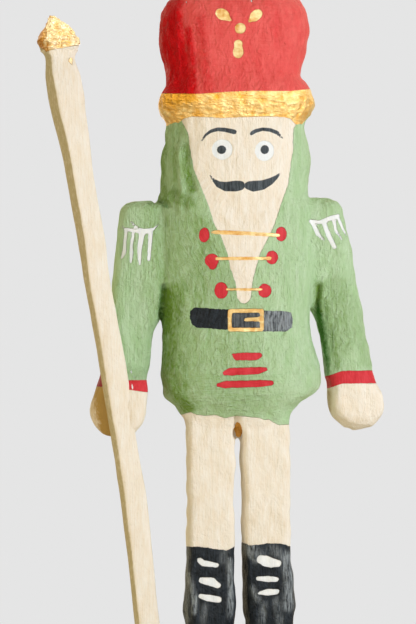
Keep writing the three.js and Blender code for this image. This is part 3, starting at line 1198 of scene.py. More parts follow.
    # Edges between the paints, as pixels of the photograph.
    HAT_EDGE = Line(((150, 94.5), (165, 93.5), (200, 94), (225, 92), (255, 90.8), (290, 91.2), (316, 88.5)))
    ROLL_EDGE = Line(
        (
            (150, 112), (158, 116), (165, 127), (170, 124.5), (174.8, 122.1), (178.9, 122.7),
            (184.2, 118.5), (191, 116.6), (206, 117), (221, 118), (240, 117.2), (268, 116.4), (284, 117),
            (290, 118.5), (295.5, 124.5), (302.2, 123.9), (309.3, 116), (318, 112),
        )
    )
    HEM = Line(
        (
            (176, 415.5), (182.3, 414.5), (190.7, 411.9), (194.5, 414.2), (205.2, 415.7), (214.4, 415),
            (225.1, 418), (235.9, 415.8), (243.5, 416.4), (260.3, 418), (265, 420.3), (268, 419),
            (278, 424.9), (287.9, 424.5), (296, 423),
        )
    )
    FACE = Patch(
        (
            (183, 110), (182, 121.4), (188, 133), (190, 149), (194, 170), (203.5, 193), (209, 206.4),
            (214, 224), (222, 238.6), (227.7, 254.6), (230, 268), (235.7, 282.8), (237, 297.5),
            (240.5, 302.5), (244.4, 304.2), (248.5, 302), (251, 297.5), (252.4, 282.8), (257, 264),
            (261, 252), (267.9, 238.6), (274.5, 225), (282.6, 199.7), (288, 185), (290.6, 166),
            (293, 150), (293.3, 128.7), (297.3, 123.4), (297, 110),
        )
    )
    SLEEVE_ENDS = (
        Line(((88, 371.8), (100.7, 371.8), (126, 380.2), (147, 380), (160, 380))),
        Line(((318, 377), (328.2, 375.7), (342, 371), (372.7, 370.4), (390, 370.4))),
    )
    CUFF_ENDS = (
        Line(((88, 386.4), (98, 386.6), (128.5, 389.6), (144.4, 392), (160, 392))),
        Line(((318, 389), (329.6, 388), (342, 383.6), (377, 383.2), (390, 383.2))),
    )
    BOOT_TOPS = Line(
        (
            (176, 546), (185.7, 546.5), (199, 547), (212, 548.4), (226, 550.7), (232.8, 548), (238, 544),
            (242.4, 542.2), (248.9, 545.3), (256.5, 545), (266.5, 543.4), (283.3, 543.9), (290.2, 546.5),
            (300, 547),
        )
    )
    BARE = Blob((238.2, 429.8), (3.8, 7.8), -6)
    # The columns that part the arms from the body, and the row above which no cuff or mitten shows.
    ARM_SPLIT_PX = (156.0, 323.2)
    SLEEVE_ROW_PX = 340.0
    # How far, in pixels, a paint that only the front carries is pushed off what faces back.
    BEHIND_PX = 120.0
    # How fast a mark that only the front carries gives way as the surface turns back.
    FRONT_GAIN = 3.0
    # What counts as front: the share of the way to the camera, times the first and plus the second.
    FACING = (1.5, 0.35)
    # Middle and half axes, in pixels, of the ovals where the brush went level or slanting.
    LEVEL_HEM = ((235, 395), (60, 28))
    LEVEL_HAT = ((235, 20), (60, 60))
    SLANT_CHEST = ((195, 255), (28, 50))
    # Rings and sides of each limb's loft.
    TRUNK_GRID = (240, 128)
    ARM_GRID = (140, 72)
    LEG_GRID = (120, 72)
    GRIP_GRID = (60, 48)
    FORK_GRID = (40, 48)
    # The seed, the size and the height in millimetres of the paper's three kinds of lumps.
    LUMPS = ((3, 24.0, 0.80), (4, 11.0, 0.72), (5, (5.0, 5.0, 8.0), 0.48))
    # The upright creases: their size, how far and over what length they sway, and their depth.
    CREASE_MM = (6.5, 6.5, 22.0)
    SWAY_MM = (4.0, 30.0)
    CREASE_DEPTH_MM = 0.45
    BELT = (
        Patch(
            ((190.2, 311), (194, 307.3), (230, 309.7), (230, 330), (196, 327.4), (191.5, 324), (189.8, 317))
        ),
        Patch(
            ((262, 310.6), (285, 311), (291, 312.8), (293.4, 319.5), (292, 327), (287, 331.6), (262, 331.4))
        ),
    )
    BUCKLE_INSIDE = Patch(((229, 310.5), (263, 310.5), (263, 330), (229, 330)))
    BUCKLE = (
        Stroke(((229.8, 311), (262, 310.6), (262, 329.6), (229.8, 329.6), (229.8, 311)), 4.0),
        Stroke(((245.4, 319.6), (261, 319.2)), (3.4, 4.6)),
    )
    BUTTONS = (
        Blob((204.2, 235), (5.4, 7.4), 4),
        Blob((281.2, 233.9), (5.6, 7.3)),
        Blob((211.9, 260.4), (7.0, 6.8)),
        Blob((212.4, 264.5), (4.6, 5.2)),
        Blob((272, 257.6), (6, 6.8)),
        Blob((221.2, 290.5), (6.7, 8.3)),
        Blob((264.8, 290.8), (6.6, 7.1)),
    )
    BARS = (
        Stroke(((232.6, 354.6), (237, 356.6), (256, 356.4), (260, 355.4)), (2.5, 7.4, 7.6, 5)),
        Stroke(((225, 373), (230, 371.8), (258, 370.6), (265.5, 369.2)), (5, 7.6, 7, 4)),
        Stroke(((217.5, 385), (224, 384.6), (262, 383.6), (271.6, 383)), (3, 7, 7, 5)),
    )
    CORDS = (
        Stroke(((211.4, 231.9), (216, 232.2), (245, 233.2), (278.4, 235.3)), (2.4, 4.2, 4.0, 3.4)),
        Stroke(((216.6, 258.7), (240, 258.4), (270.2, 258.4)), (3.0, 3.4, 3.2)),
        Stroke(((226.8, 289.6), (245, 289.6), (261, 289.6)), (2.6, 3.0, 2.8)),
    )
    HAT_SPRIG = (
        Blob((222.6, 14.4), (7.6, 5.6), 30),
        Stroke(((226, 17), (230.9, 20.3)), (7, 2.5)),
        Blob((256, 15.4), (7.4, 5.2), -42),
        Stroke(((253, 18), (249.2, 21.6)), (7, 2.5)),
        Blob((240.3, 28.3), (5.6, 5.4), 20),
        Blob((238.3, 44), (4.4, 4.4)),
        Blob((238.2, 51.7), (5.4, 6.6)),
    )
    EYES = (Blob((222.3, 149.5), (10.4, 10.2)), Blob((264.5, 150.8), (9.6, 10.2)))
    FRINGES = (
        Stroke(((122.4, 227), (127, 229.6)), (1.6, 3)),
        Stroke(((127, 229.4), (134, 230.4), (142, 231.6), (150, 230.6), (154.4, 228.4)), (3, 3, 5, 5, 2)),
        Stroke(((154, 228.6), (158.8, 224.4)), (2, 1)),
        Stroke(((131.4, 221.8), (136, 227), (142, 229.4)), (1.8, 2.2, 2.4)),
        Stroke(((126.2, 230), (124.6, 245), (124.4, 252), (121.6, 258.4)), (3.4, 3.2, 4.2, 1.8)),
        Stroke(((133.4, 232), (131.4, 246), (131.6, 254), (130.8, 262.4)), (3, 3.2, 3.8, 2.2)),
        Stroke(((142.2, 232), (139.4, 250), (139.6, 264)), (6, 4.6, 2.6)),
        Stroke(((150.8, 230), (149.6, 249), (148.8, 259.6)), (4.6, 3.8, 3.2)),
        Stroke(((311, 221.4), (320, 222.2), (330, 218.4), (338, 215.6)), (4, 3.4, 4.6, 3)),
        Stroke(((313, 223), (318, 234), (323.6, 240)), (4, 4.4, 2.6)),
        Stroke(((324, 223), (329, 236), (334.6, 247.2)), (4.4, 5, 4.2)),
        Stroke(((333.4, 219), (336, 231), (342.6, 240.6)), (3.6, 3, 1.2)),
        Stroke(((337.8, 217), (342, 227), (346.4, 236)), (3, 2.6, 1)),
        Stroke(((130.6, 370), (131.6, 373)), 1.6),
        Stroke(((133.6, 375.4), (134, 377.6)), 1.0),
        Stroke(((131.4, 384), (133, 389)), 1.8),
        Stroke(((186.4, 2), (187.6, 4)), 1.2),
        Stroke(((249.6, -2), (252.2, 2)), 1.8),
    )
    BOOT_BARS = (
        Stroke(((199.4, 560), (203, 563), (216.6, 565.2)), (5, 6.2, 4.6)),
        Stroke(((202, 580.4), (212, 582), (218, 585.4)), (6.4, 9, 6)),
        Stroke(((200.4, 596), (208, 598), (218.6, 599.6)), (4.4, 6.8, 6.4)),
        Stroke(((261, 559.4), (265.6, 561), (271, 562.6), (278, 563.4)), (8.6, 11, 10, 7)),
        Stroke(((258, 578.6), (268, 579), (276.4, 579.4)), (4, 6, 5)),
        Stroke(((259.4, 593), (268, 592.2), (277, 591.6)), (3.4, 7, 5)),
    )
    BROWS = (
        Stroke(
            ((201.3, 141.2), (205.7, 134.9), (211.1, 131), (217.5, 129.3), (225, 129.8), (234.4, 131.9)),
            (1.2, 2.4, 3.2, 3.8, 4.2, 4.8),
        ),
        Stroke(
            (
                (251.4, 133.4), (255.6, 130.9), (262.5, 129.2), (270, 129.9), (277, 132.6), (280.2, 136),
                (282.6, 138.6),
            ),
            (3.8, 3.8, 3.4, 3.8, 3.8, 2.4, 1.4),
        ),
    )
    MOUSTACHE = (
        Stroke(
            ((210, 175.4), (213.2, 179.7), (218.6, 184.4), (226, 186.6), (236, 186), (240.2, 185.6)),
            (1, 2.8, 6.4, 9.4, 10.8, 9.6),
        ),
        Stroke(
            ((249.3, 185.6), (253.4, 186.2), (262, 185.2), (270, 181.6), (276, 177.4), (280, 173.4)),
            (8.8, 10.8, 9.6, 7, 4, 1.2),
        ),
    )
    PUPILS = (Blob((221.6, 149.7), (4.6, 4.3)), Blob((264.8, 149.6), (4.3, 4.5)))

    # Painted shade, laid as thinner paint, on the left sides of the hat, hood and chest, along the sleeves
    # and at the hem: the place, how much, and over how many pixels it gives out.
    THIN_AND_SHADE_SPOTS = (
        (Stroke(((174, 128), (172, 160), (174, 196)), 22), 0.25, 8),
        (Stroke(((164, 138), (162, 165), (163, 190)), 4), 0.55, 4),
        (Stroke(((175, 150), (175, 180)), 1), 0.45, 4),
        (Stroke(((186, 148), (187, 170), (192, 190)), 2.5), 0.7, 5),
        (Stroke(((160, 198), (174, 196), (188, 202)), 6), 0.6, 8),
        (Stroke(((170, 215), (178, 260), (178, 400)), 30), 0.3, 26),
        (Stroke(((212, 240), (222, 330), (232, 395)), 20), 0.26, 36),
        (Stroke(((200, 225), (206, 262), (200, 300)), 8), 0.44, 12),
        (Stroke(((167, 294), (166, 330)), 6), 0.95, 7),
        (Stroke(((178, 290), (168, 340), (170, 385)), 8), 0.65, 12),
        (Stroke(((180, 355), (184, 388)), 6), 0.5, 7),
        (Stroke(((176, 392), (188, 408)), 6), 0.75, 7),
        (Patch(((140, -30), (176, -20), (174, 10), (178, 45), (184, 70), (190, 96), (150, 98))), 1.2, 12),
        (Stroke(((188, 30), (192, 60), (194, 90)), 2), 0.85, 5),
        (Stroke(((199, 20), (203, 60), (208, 90)), 3), 0.4, 7),
        (Stroke(((352, 300), (362, 340), (368, 362)), 4), 0.2, 6),
        (Stroke(((319.4, 286), (319, 310)), 3), 0.75, 5),
        (Stroke(((337, 286), (340, 320), (342, 345)), 10), 0.3, 9),
        (Stroke(((326, 300), (334, 340), (338, 366)), 2), 0.5, 4),
    )
    # The staff's painted shadow on the mitten and cuff that hold it, and painted shade down the other
    # mitten's left side.
    PAINTED_SHADE_SPOTS = (
        (Stroke(((107, 360), (105, 384), (107, 405), (114, 434)), 6), 1.5, 15),
        (Stroke(((329, 392), (329, 412)), 1), 0.55, 2.4),
    )
    # Where darker green is painted as shade: the hanging sleeve's inner side, the armpit and shoulder
    # creases, and the staff's shadow above its mitten.
    SHADE_GREEN_STROKES = (
        Stroke(
            ((317.4, 300), (318, 312), (320.6, 328), (323.4, 342), (326.6, 360), (328.2, 374)),
            (1, 6, 8, 6, 4, 2),
        ),
        Stroke(((162.8, 286), (161, 305), (160, 322)), (1.5, 2.6, 2)),
        Stroke(((150, 203.4), (158, 201.4), (167, 207)), (0.6, 1.4, 1.2)),
        Stroke(((98, 366), (99, 374)), 10),
    )
    # Where the black is grey, partly rubbed by a dry brush and partly painted sheen on the boots' edges and
    # the belt's right end, in the same terms.
    SCUFF_AND_SHEEN_SPOTS = (
        (Stroke(((266, 321), (290, 321)), 18), 0.62, 3),
        (Stroke(((236, 321), (262, 321)), 16), 0.22, 2),
        (Stroke(((188, 575), (195, 600), (194, 612)), 2.6), 0.6, 2.4),
        (Stroke(((185, 548), (186, 580), (187, 620)), 3), 0.3, 3),
        (Stroke(((229.5, 560), (231, 590), (230, 615)), 3), 0.5, 2.4),
        (Stroke(((226, 545), (224, 560)), 2), 0.25, 5),
        (Stroke(((250, 549), (258, 556)), 9), 0.42, 4),
        (Stroke(((272, 549), (280, 553)), 4), 0.3, 5),
        (Stroke(((252, 588), (258, 600)), 2), 0.35, 3),
        (Stroke(((286, 556), (290, 580), (288, 606)), 6), 0.5, 4),
        (Stroke(((264, 604), (262, 622)), 3), 0.3, 3),
        (Stroke(((276, 600), (280, 622)), 3), 0.3, 3),
        (Stroke(((205, 606), (203, 622)), 3), 0.22, 3),
    )

    # Where the paper lies in upright folds: the place, their height in millimetres and their fading out.
    FOLDED = (
        (Stroke(((175, 128), (173, 160), (177, 200)), 16), 2.7, 12),
        (Stroke(((172, 20), (172, 50), (176, 88)), 12), 2.2, 16),
        (Stroke(((166, 104), (200, 104), (270, 102), (308, 104)), 22), 0.9, 4),
        (Stroke(((325, 215), (330, 260), (340, 330)), 20), 0.6, 12),
        (Stroke(((185, 550), (190, 590), (192, 620)), 10), 0.6, 10),
        (Stroke(((250, 550), (252, 590), (250, 620)), 8), 0.7, 8),
    )

    # Creases, folds, dents and ridges of the paper, as pixels of the photograph.
    GROOVES = (
        Groove(Stroke(((164, 286), (163.4, 300), (161, 318)), 1.0), 3.6, 2.0),
        Groove(Stroke(((318.6, 285), (318, 296), (316.4, 307)), 1.0), 3.4, 1.8),
        Groove(Stroke(((236.8, 419), (237.6, 437)), 2.0), 6.0, 2.4),
        Groove(Stroke(((155, 201.8), (159, 200.6), (166.5, 202.6), (167.5, 206)), 1.4), 2.6, 1.6),
        Groove(Stroke(((177, 126), (173, 145), (171, 165), (174, 190)), 2.5), 1.1, 4.0),
        Groove(Stroke(((186, 140), (186, 158), (191, 178), (196, 196)), 2.0), 1.2, 3.5),
        Groove(Stroke(((166, 140), (164.5, 160), (166, 186)), 2.0), 0.8, 3.5),
        Groove(Stroke(((181, 150), (180, 170), (183, 192), (190, 210)), 1.5), -0.7, 3.0),
        Groove(Stroke(((168, 24), (169, 50), (175, 84)), 3.0), 1.1, 5.0),
        Groove(Stroke(((184, 16), (181, 40), (184, 62), (181, 88)), 2.5), 1.2, 5.0),
        Groove(Stroke(((197, 40), (197, 62), (192, 90)), 2.0), 0.7, 4.5),
        Groove(Stroke(((206, 34), (208, 60), (204, 84)), 1.5), -0.5, 3.5),
        Groove(Stroke(((276, 15), (278.6, 24)), 1.6), 1.5, 2.6),
        Groove(Stroke(((279, 28), (277, 34)), 1.4), 1.0, 2.4),
        Groove(Blob((282.5, 23), (6.5, 8), 10), 0.7, 3.0),
        Groove(Stroke(((284, 331.5), (281.6, 335)), 1.4), 1.6, 1.6),
        Groove(Blob((254, 396.5), (1.6, 1.2)), 1.1, 1.4),
        Groove(Blob((259.6, 399), (1.4, 1.4)), 1.0, 1.2),
        Groove(Blob((264, 397.6), (1.2, 1.2)), 0.9, 1.2),
        Groove(Stroke(((171, 377), (176, 382)), 2.4), 1.0, 2.6),
        Groove(Stroke(((219, 353), (224.5, 358)), 1.4), 0.7, 2.2),
        Groove(Stroke(((214.6, 300), (211.6, 308)), 1.0), 0.3, 1.2),
        Groove(Stroke(((209.6, 243), (213, 248.6)), 0.9), 0.7, 1.0),
        Groove(Stroke(((216.6, 270), (220.6, 277)), 0.9), 0.7, 1.0),
        Groove(Stroke(((269.5, 336), (274, 343)), 1.6), 0.5, 2.4),
        Groove(Stroke(((327.6, 371), (328.6, 376)), 5.0), -1.6, 2.0),
        Groove(Blob((334.6, 389.6), (1.4, 1.0)), 1.6, 1.0),
        Groove(Stroke(((338, 421.5), (351, 427.5), (366, 430)), 3.0), 1.6, 2.6),
        Groove(Blob((347, 417), (5, 3), 20), -0.6, 4.0),
        Groove(Stroke(((344, 398), (352, 404), (349, 413)), 2.0), 0.5, 3.0),
        Groove(Stroke(((362, 392), (366, 402), (360, 410)), 2.0), -0.6, 3.0),
        Groove(Stroke(((336, 396), (339, 408)), 2.0), 0.5, 2.4),
        Groove(Stroke(((370, 412), (372, 418)), 2.0), 0.8, 1.8),
        Groove(Stroke(((329, 250), (331, 300), (336, 340), (340, 366)), 3.0), 0.7, 5.0),
        Groove(Stroke(((343, 280), (344, 320), (350, 350)), 2.0), 0.6, 4.0),
        Groove(Stroke(((321.5, 200), (320, 212), (322, 218)), 2.0), 0.8, 3.0),
        Groove(Stroke(((196.6, 560), (200, 590), (199, 615)), 3.0), 0.6, 3.5),
        Groove(Stroke(((226, 566), (229, 590), (227, 616)), 2.0), 0.6, 3.0),
        Groove(Stroke(((249, 548), (252, 580), (248, 618)), 3.0), 0.6, 3.5),
        Groove(Stroke(((281, 566), (279, 590), (270, 620)), 2.0), 0.5, 3.5),
    )

    def limbs(self) -> list[Surface]:
        """The trunk, arms, legs, grip and fork as closed overlapping limbs.

        Returns:
            Seven closed surfaces.
        """
        scale = self.view.height_mm / 1000
        base = self.view.floor_mm
        left_leg = [
            replace(s, x=self.LEFT_LEG_X + drift) for s, drift in zip(self.LEG, self.LEFT_DRIFT)
        ]
        right_leg = [replace(s, x=self.RIGHT_LEG_X) for s in self.LEG]
        return [
            loft(self.TRUNK, scale, base, *self.TRUNK_GRID),
            loft(self.STAFF_ARM, scale, base, *self.ARM_GRID),
            loft(self.FREE_ARM, scale, base, *self.ARM_GRID),
            loft(left_leg, scale, base, *self.LEG_GRID),
            loft(right_leg, scale, base, *self.LEG_GRID),
            loft(self.GRIP, scale, base, *self.GRIP_GRID),
            loft(self.FORK, scale, base, *self.FORK_GRID),
        ]

    def paint_distances(self, seen: np.ndarray, front: np.ndarray) -> dict[str, np.ndarray]:
        """Signed distances in millimetres from each vertex to the edge of each paint.

        Paints that only the front carries are pushed away from vertices that face back.

        Args:
            seen: The vertices' pixels.
            front: 1 where the surface faces the front, 0 where it faces back.

        Returns:
            Attribute name to distances, negative where the paint is.
        """
        away = self.BEHIND_PX * (1.0 - np.clip(front * self.FRONT_GAIN, 0.0, 1.0))
        column = seen[:, 0]
        right_arm = column - self.ARM_SPLIT_PX[0]
        left_arm = self.ARM_SPLIT_PX[1] - column
        body = np.maximum(-right_arm, -left_arm)
        low = self.SLEEVE_ROW_PX - seen[:, 1]
        mittens = [
            np.maximum.reduce([arm, edge.below(seen), low])
            for arm, edge in zip((right_arm, left_arm), self.CUFF_ENDS)
        ]
        cuffs = [
            np.maximum.reduce([arm, top.below(seen), end.above(seen), low])
            for arm, top, end in zip((right_arm, left_arm), self.SLEEVE_ENDS, self.CUFF_ENDS)
        ]
        breeches = np.maximum(body, self.HEM.below(seen))
        boots = np.maximum(body, self.BOOT_TOPS.below(seen))
        roll = np.maximum(self.HAT_EDGE.below(seen), self.ROLL_EDGE.above(seen))
        drawn = {
            "green_shade": [nearest(self.SHADE_GREEN_STROKES, seen) + away],
            "cream": [self.FACE.distance(seen) + away, breeches, *mittens],
            "bare": [self.BARE.distance(seen) + away],
            "black": [nearest((*self.BELT, self.BUCKLE_INSIDE), seen) + away, boots],
            "red": [self.HAT_EDGE.above(seen)],
            "trim": [nearest((*self.BUTTONS, *self.BARS), seen) + away, *cuffs],
            "gilt": [roll],
            "gilt_line": [nearest((*self.CORDS, *self.BUCKLE, *self.HAT_SPRIG), seen) + away],
            "white": [nearest((*self.EYES, *self.FRINGES, *self.BOOT_BARS), seen) + away],
            "ink": [nearest((*self.BROWS, *self.MOUSTACHE, *self.PUPILS), seen) + away],
        }
        return {name: np.min(parts, axis=0) * self.view.mm_per_px for name, parts in drawn.items()}

    def brush_directions(self, seen: np.ndarray) -> dict[str, np.ndarray]:
        """Where the brush went level or slanting, from 0 to 1.

        Args:
            seen: An (n, 2) array of pixels.

        Returns:
            Attribute name to values.
        """
        x, y = seen[:, 0], seen[:, 1]

        def around(centre: Pixel, radii: Pixel) -> np.ndarray:
            """One inside an oval, easing to nought past its edge."""
            level = np.hypot((x - centre[0]) / radii[0], (y - centre[1]) / radii[1])
            return np.clip(1.6 - level, 0.0, 1.0)

        return {
            "level": np.maximum(around(*self.LEVEL_HEM), 0.6 * around(*self.LEVEL_HAT)),
            "slant": around(*self.SLANT_CHEST),
        }

    def spot_mask(
        self, spots: Sequence[tuple[Stroke | Patch, float, float]], seen: np.ndarray, front: np.ndarray
    ) -> np.ndarray:
        """How strongly each vertex takes a mark that fades out round several spots on the front.

        Args:
            spots: The shape of each, its strength and the pixels over which it fades out.
            seen: The vertices' pixels.
            front: 1 where the surface faces the front, 0 where it faces back.

        Returns:
            An (n,) array: the strongest bell curve of the distance from any spot.
        """
        total = np.zeros(len(seen))
        for shape, amount, soft in spots:
            gap = np.maximum(shape.distance(seen), 0.0) / soft
            total = np.maximum(total, amount * np.exp(-2.0 * gap**2))
        return total * np.clip(front * self.FRONT_GAIN, 0.0, 1.0)

    def relief(self, points: np.ndarray, seen: np.ndarray, front: np.ndarray) -> np.ndarray:
        """How far the paper stands out from the moulded form, in millimetres.

        Lumps of three sizes are added up. Upright creases lie where a drawn-out noise crosses nought,
        deepest where the paper is folded. Each drawn crease takes off its depth times a bell curve of
        the distance from its shape.

        Args:
            points: The vertices.
            seen: Their pixels.
            front: 1 where the surface faces the front, 0 where it faces back.

        Returns:
            An (n,) array.
        """
        folds, sway = Lumps(7), Lumps(8)
        far, length = self.SWAY_MM
        swayed = points + far * sway(points, length)[:, None]
        crease = 0.5 - np.abs(folds(swayed, self.CREASE_MM))
        folded = self.spot_mask(self.FOLDED, seen, front)
        lumps = lumpy(points, self.LUMPS) - crease * (self.CREASE_DEPTH_MM + folded)
        for groove in self.GROOVES:
            gap = np.maximum(groove.shape.distance(seen), 0.0) * self.view.mm_per_px
            lumps -= groove.depth_mm * np.exp(-((gap / groove.soft_mm) ** 2) * 2.0) * front
        return lumps

    def build(self) -> bpy.types.Object:
        """Builds the painted figure.

        Returns:
            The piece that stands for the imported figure.
        """
        skin = smoothed(skin_over(self.limbs(), self.cell_mm), self.blending)
        facing = normals_of(skin)
        seen = self.view.seen(skin.points)
        gain, least = self.FACING
        front = np.clip(facing @ self.view.axes()[2] * gain + least, 0.0, 1.0)
        moved = skin.points + facing * self.relief(skin.points, seen, front)[:, None]
        floor = self.view.floor_mm
        moved[:, 2] = np.maximum(moved[:, 2], floor)
        skin = Surface(moved, skin.faces)
        seen = self.view.seen(skin.points)
        attributes = self.paint_distances(seen, front) | self.brush_directions(seen)
        # Measures that mix each paint towards its thin colour: painted shade on the coat and hat, painted
        # shadow and shade on the mittens and cuff, scuffs and painted sheen on the black.
        spots = {"thin": self.THIN_AND_SHADE_SPOTS, "stained": self.PAINTED_SHADE_SPOTS, "scuff": self.SCUFF_AND_SHEEN_SPOTS}
        attributes |= {name: self.spot_mask(group, seen, front) for name, group in spots.items()}
        material = PaintedPaper("brushed acrylic on papier-mache", COAT_GREEN, FIGURE_PAINTS).build()
        piece = finish_piece("soldier", skin, attributes, material)
        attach(piece, "root")
        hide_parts("figure")
        LOG.info("soldier: %d vertices, %d faces", len(skin.points), len(skin.faces))
        return piece


# The staff


@dataclass
class Staff:
    """The long pole with its gilt pointed head.

    Attributes:
        view: The photograph's viewpoint.
        height_mm: From its foot to its tip.
        foot: The middle of its foot, in millimetres.
        half_mm: Half the shaft's width.
        half_deep_mm: Half its thickness.
    """

    view: Viewpoint
    height_mm: float
    foot: tuple[float, float, float]
    half_mm: float = 10.0
    half_deep_mm: float = 9.0

    # Up and sideways in thousandths of the staff's height, widths as shares of the shaft's.
    SHAFT = stations(
        (0, 0, 0, 0.94, 0.95, 6, 8), (66, -6, 0, 0.97, 1, 6, 9), (138, -14, 0, 0.97, 1, 6, 9),
        (208, -21, 0, 0.97, 1, 6, 10), (278, -29, 0, 1.02, 1, 5, 11), (383, -45, 0, 0.97, 1, 5, 12),
        (441, -54, 0, 1.01, 1, 5, 12), (522, -67, 0, 1, 1, 5, 13), (627, -86, 0, 0.98, 1, 6, 15),
        (673, -92, 0, 1.01, 1, 7, 18), (719, -101, 0, 0.96, 1, 8, 20), (765, -109, 0, 0.98, 1.02, 8, 20),
        (812, -116, 0, 1.1, 1.1, 8, 20), (858, -125.4, 0, 1.24, 1.2, 8, 20),
        (881, -129, 0, 1.3, 1.24, 8, 20), (906, -133, 0, 1.3, 1.2, 7, 18),
        (934, -137.4, 0, 1.1, 1.1, 5, 15), (947, -139, 0, 1.5, 1.3, 4, 17),
        (959, -140, 0, 1.72, 1.4, 4, 19), (970, -140, 0, 1.5, 1.2, 3.6, 19),
        (982, -142, 0, 0.98, 0.9, 3, 17), (991, -147, 0, 0.5, 0.5, 2.4, 8),
        (996, -148.6, 0, 0.26, 0.3, 2, 0),
    )
    GILT_EDGE = Line(
        ((30, 46), (38.5, 46), (46, 51.6), (56, 49), (64, 47.6), (70, 46.4), (77.4, 45.4), (90, 45))
    )
    GRID = (420, 64)
    # Where the gilt head starts, and over what it takes over from the shaft, as shares of the height.
    HEAD_FROM = 0.935
    HEAD_OVER = 0.015
    # The seed, the size and the height in millimetres of the shaft's three kinds of lumps.
    LUMPS = (
        (11, (16.0, 16.0, 34.0), 0.40), (12, (6.0, 6.0, 14.0), 0.22), (13, (2.6, 2.6, 10.0), 0.08),
    )
    # The head's crumpled paper: how far it lies in, and the depth and size of its large and small ridges.
    SUNK_MM = 0.3
    LARGE_RIDGES_MM = (2.0, 5.5)
    SMALL_RIDGES_MM = (1.2, 3.0)
    # Painted shade on the side turned from the key light: how strong, where it starts and over what it fades
    # in.
    SIDE_SHADE = 0.9
    AWAY_FROM = 0.5
    AWAY_OVER = 0.3
    DRIP = (Blob((70.8, 60.6), (2.2, 2.8)), Stroke(((71, 62), (72.4, 66.6)), (2.4, 0.8)))

    def build(self) -> bpy.types.Object:
        """Builds the painted staff.

        The shaft's widths are shares of its own half width and thickness, so each ring is lofted in
        those shares and then scaled about its middle.

        Returns:
            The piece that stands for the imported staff.
        """
        unit = self.height_mm / 1000
        scaled = [
            replace(s, wide=s.wide * self.half_mm / unit, deep=s.deep * self.half_deep_mm / unit)
            for s in self.SHAFT
        ]
        body = loft(scaled, unit, 0.0, *self.GRID)
        points = body.points + np.array(self.foot)
        facing = normals_of(Surface(points, body.faces))
        up = (points[:, 2] - self.foot[2]) / self.height_mm
        head = np.clip((up - self.HEAD_FROM) / self.HEAD_OVER, 0.0, 1.0)
        bumps = lumpy(points, self.LUMPS)
        # The gilt head's paper is crumpled: sharp ridges where a soft noise crosses nought.
        deep, wide = self.LARGE_RIDGES_MM
        shallow, narrow = self.SMALL_RIDGES_MM
        crumple = -self.SUNK_MM - deep * np.abs(Lumps(14)(points, wide))
        crumple += shallow * (0.5 - np.abs(Lumps(15)(points, narrow)))
        points = points + facing * (bumps * (1 - head) + crumple * head)[:, None]
        points[:, 2] = np.maximum(points[:, 2], self.foot[2])
        surface = Surface(points, body.faces)
        seen = self.view.seen(points)
        gilt = np.minimum(self.GILT_EDGE.above(seen), nearest(self.DRIP, seen)) * self.view.mm_per_px
        nothing = np.zeros(len(points))
        material = PaintedPaper("cream acrylic on papier-mache", STAFF_CREAM, (HEAD_GILT,)).build()
        # The staff's painted shade on its side turned from the key light darkens both its cream and its gilt.
        marks = {"gilt": gilt, "level": nothing, "slant": nothing, "stained": self._shaded(surface)}
        piece = finish_piece("staff_pole", surface, marks, material)
        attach(piece, "root")
        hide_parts("staff")
        LOG.info("staff: %d vertices", len(points))
        return piece

    def _shaded(self, surface: Surface) -> np.ndarray:
        """Painted shade: how strongly the side turned away to the staff's right, from the key light, takes
        its duller tone.
        """
        turned = (-normals_of(surface)[:, 0] - self.AWAY_FROM) / self.AWAY_OVER
        return self.SIDE_SHADE * np.clip(turned, 0.0, 1.0)


# The plinth


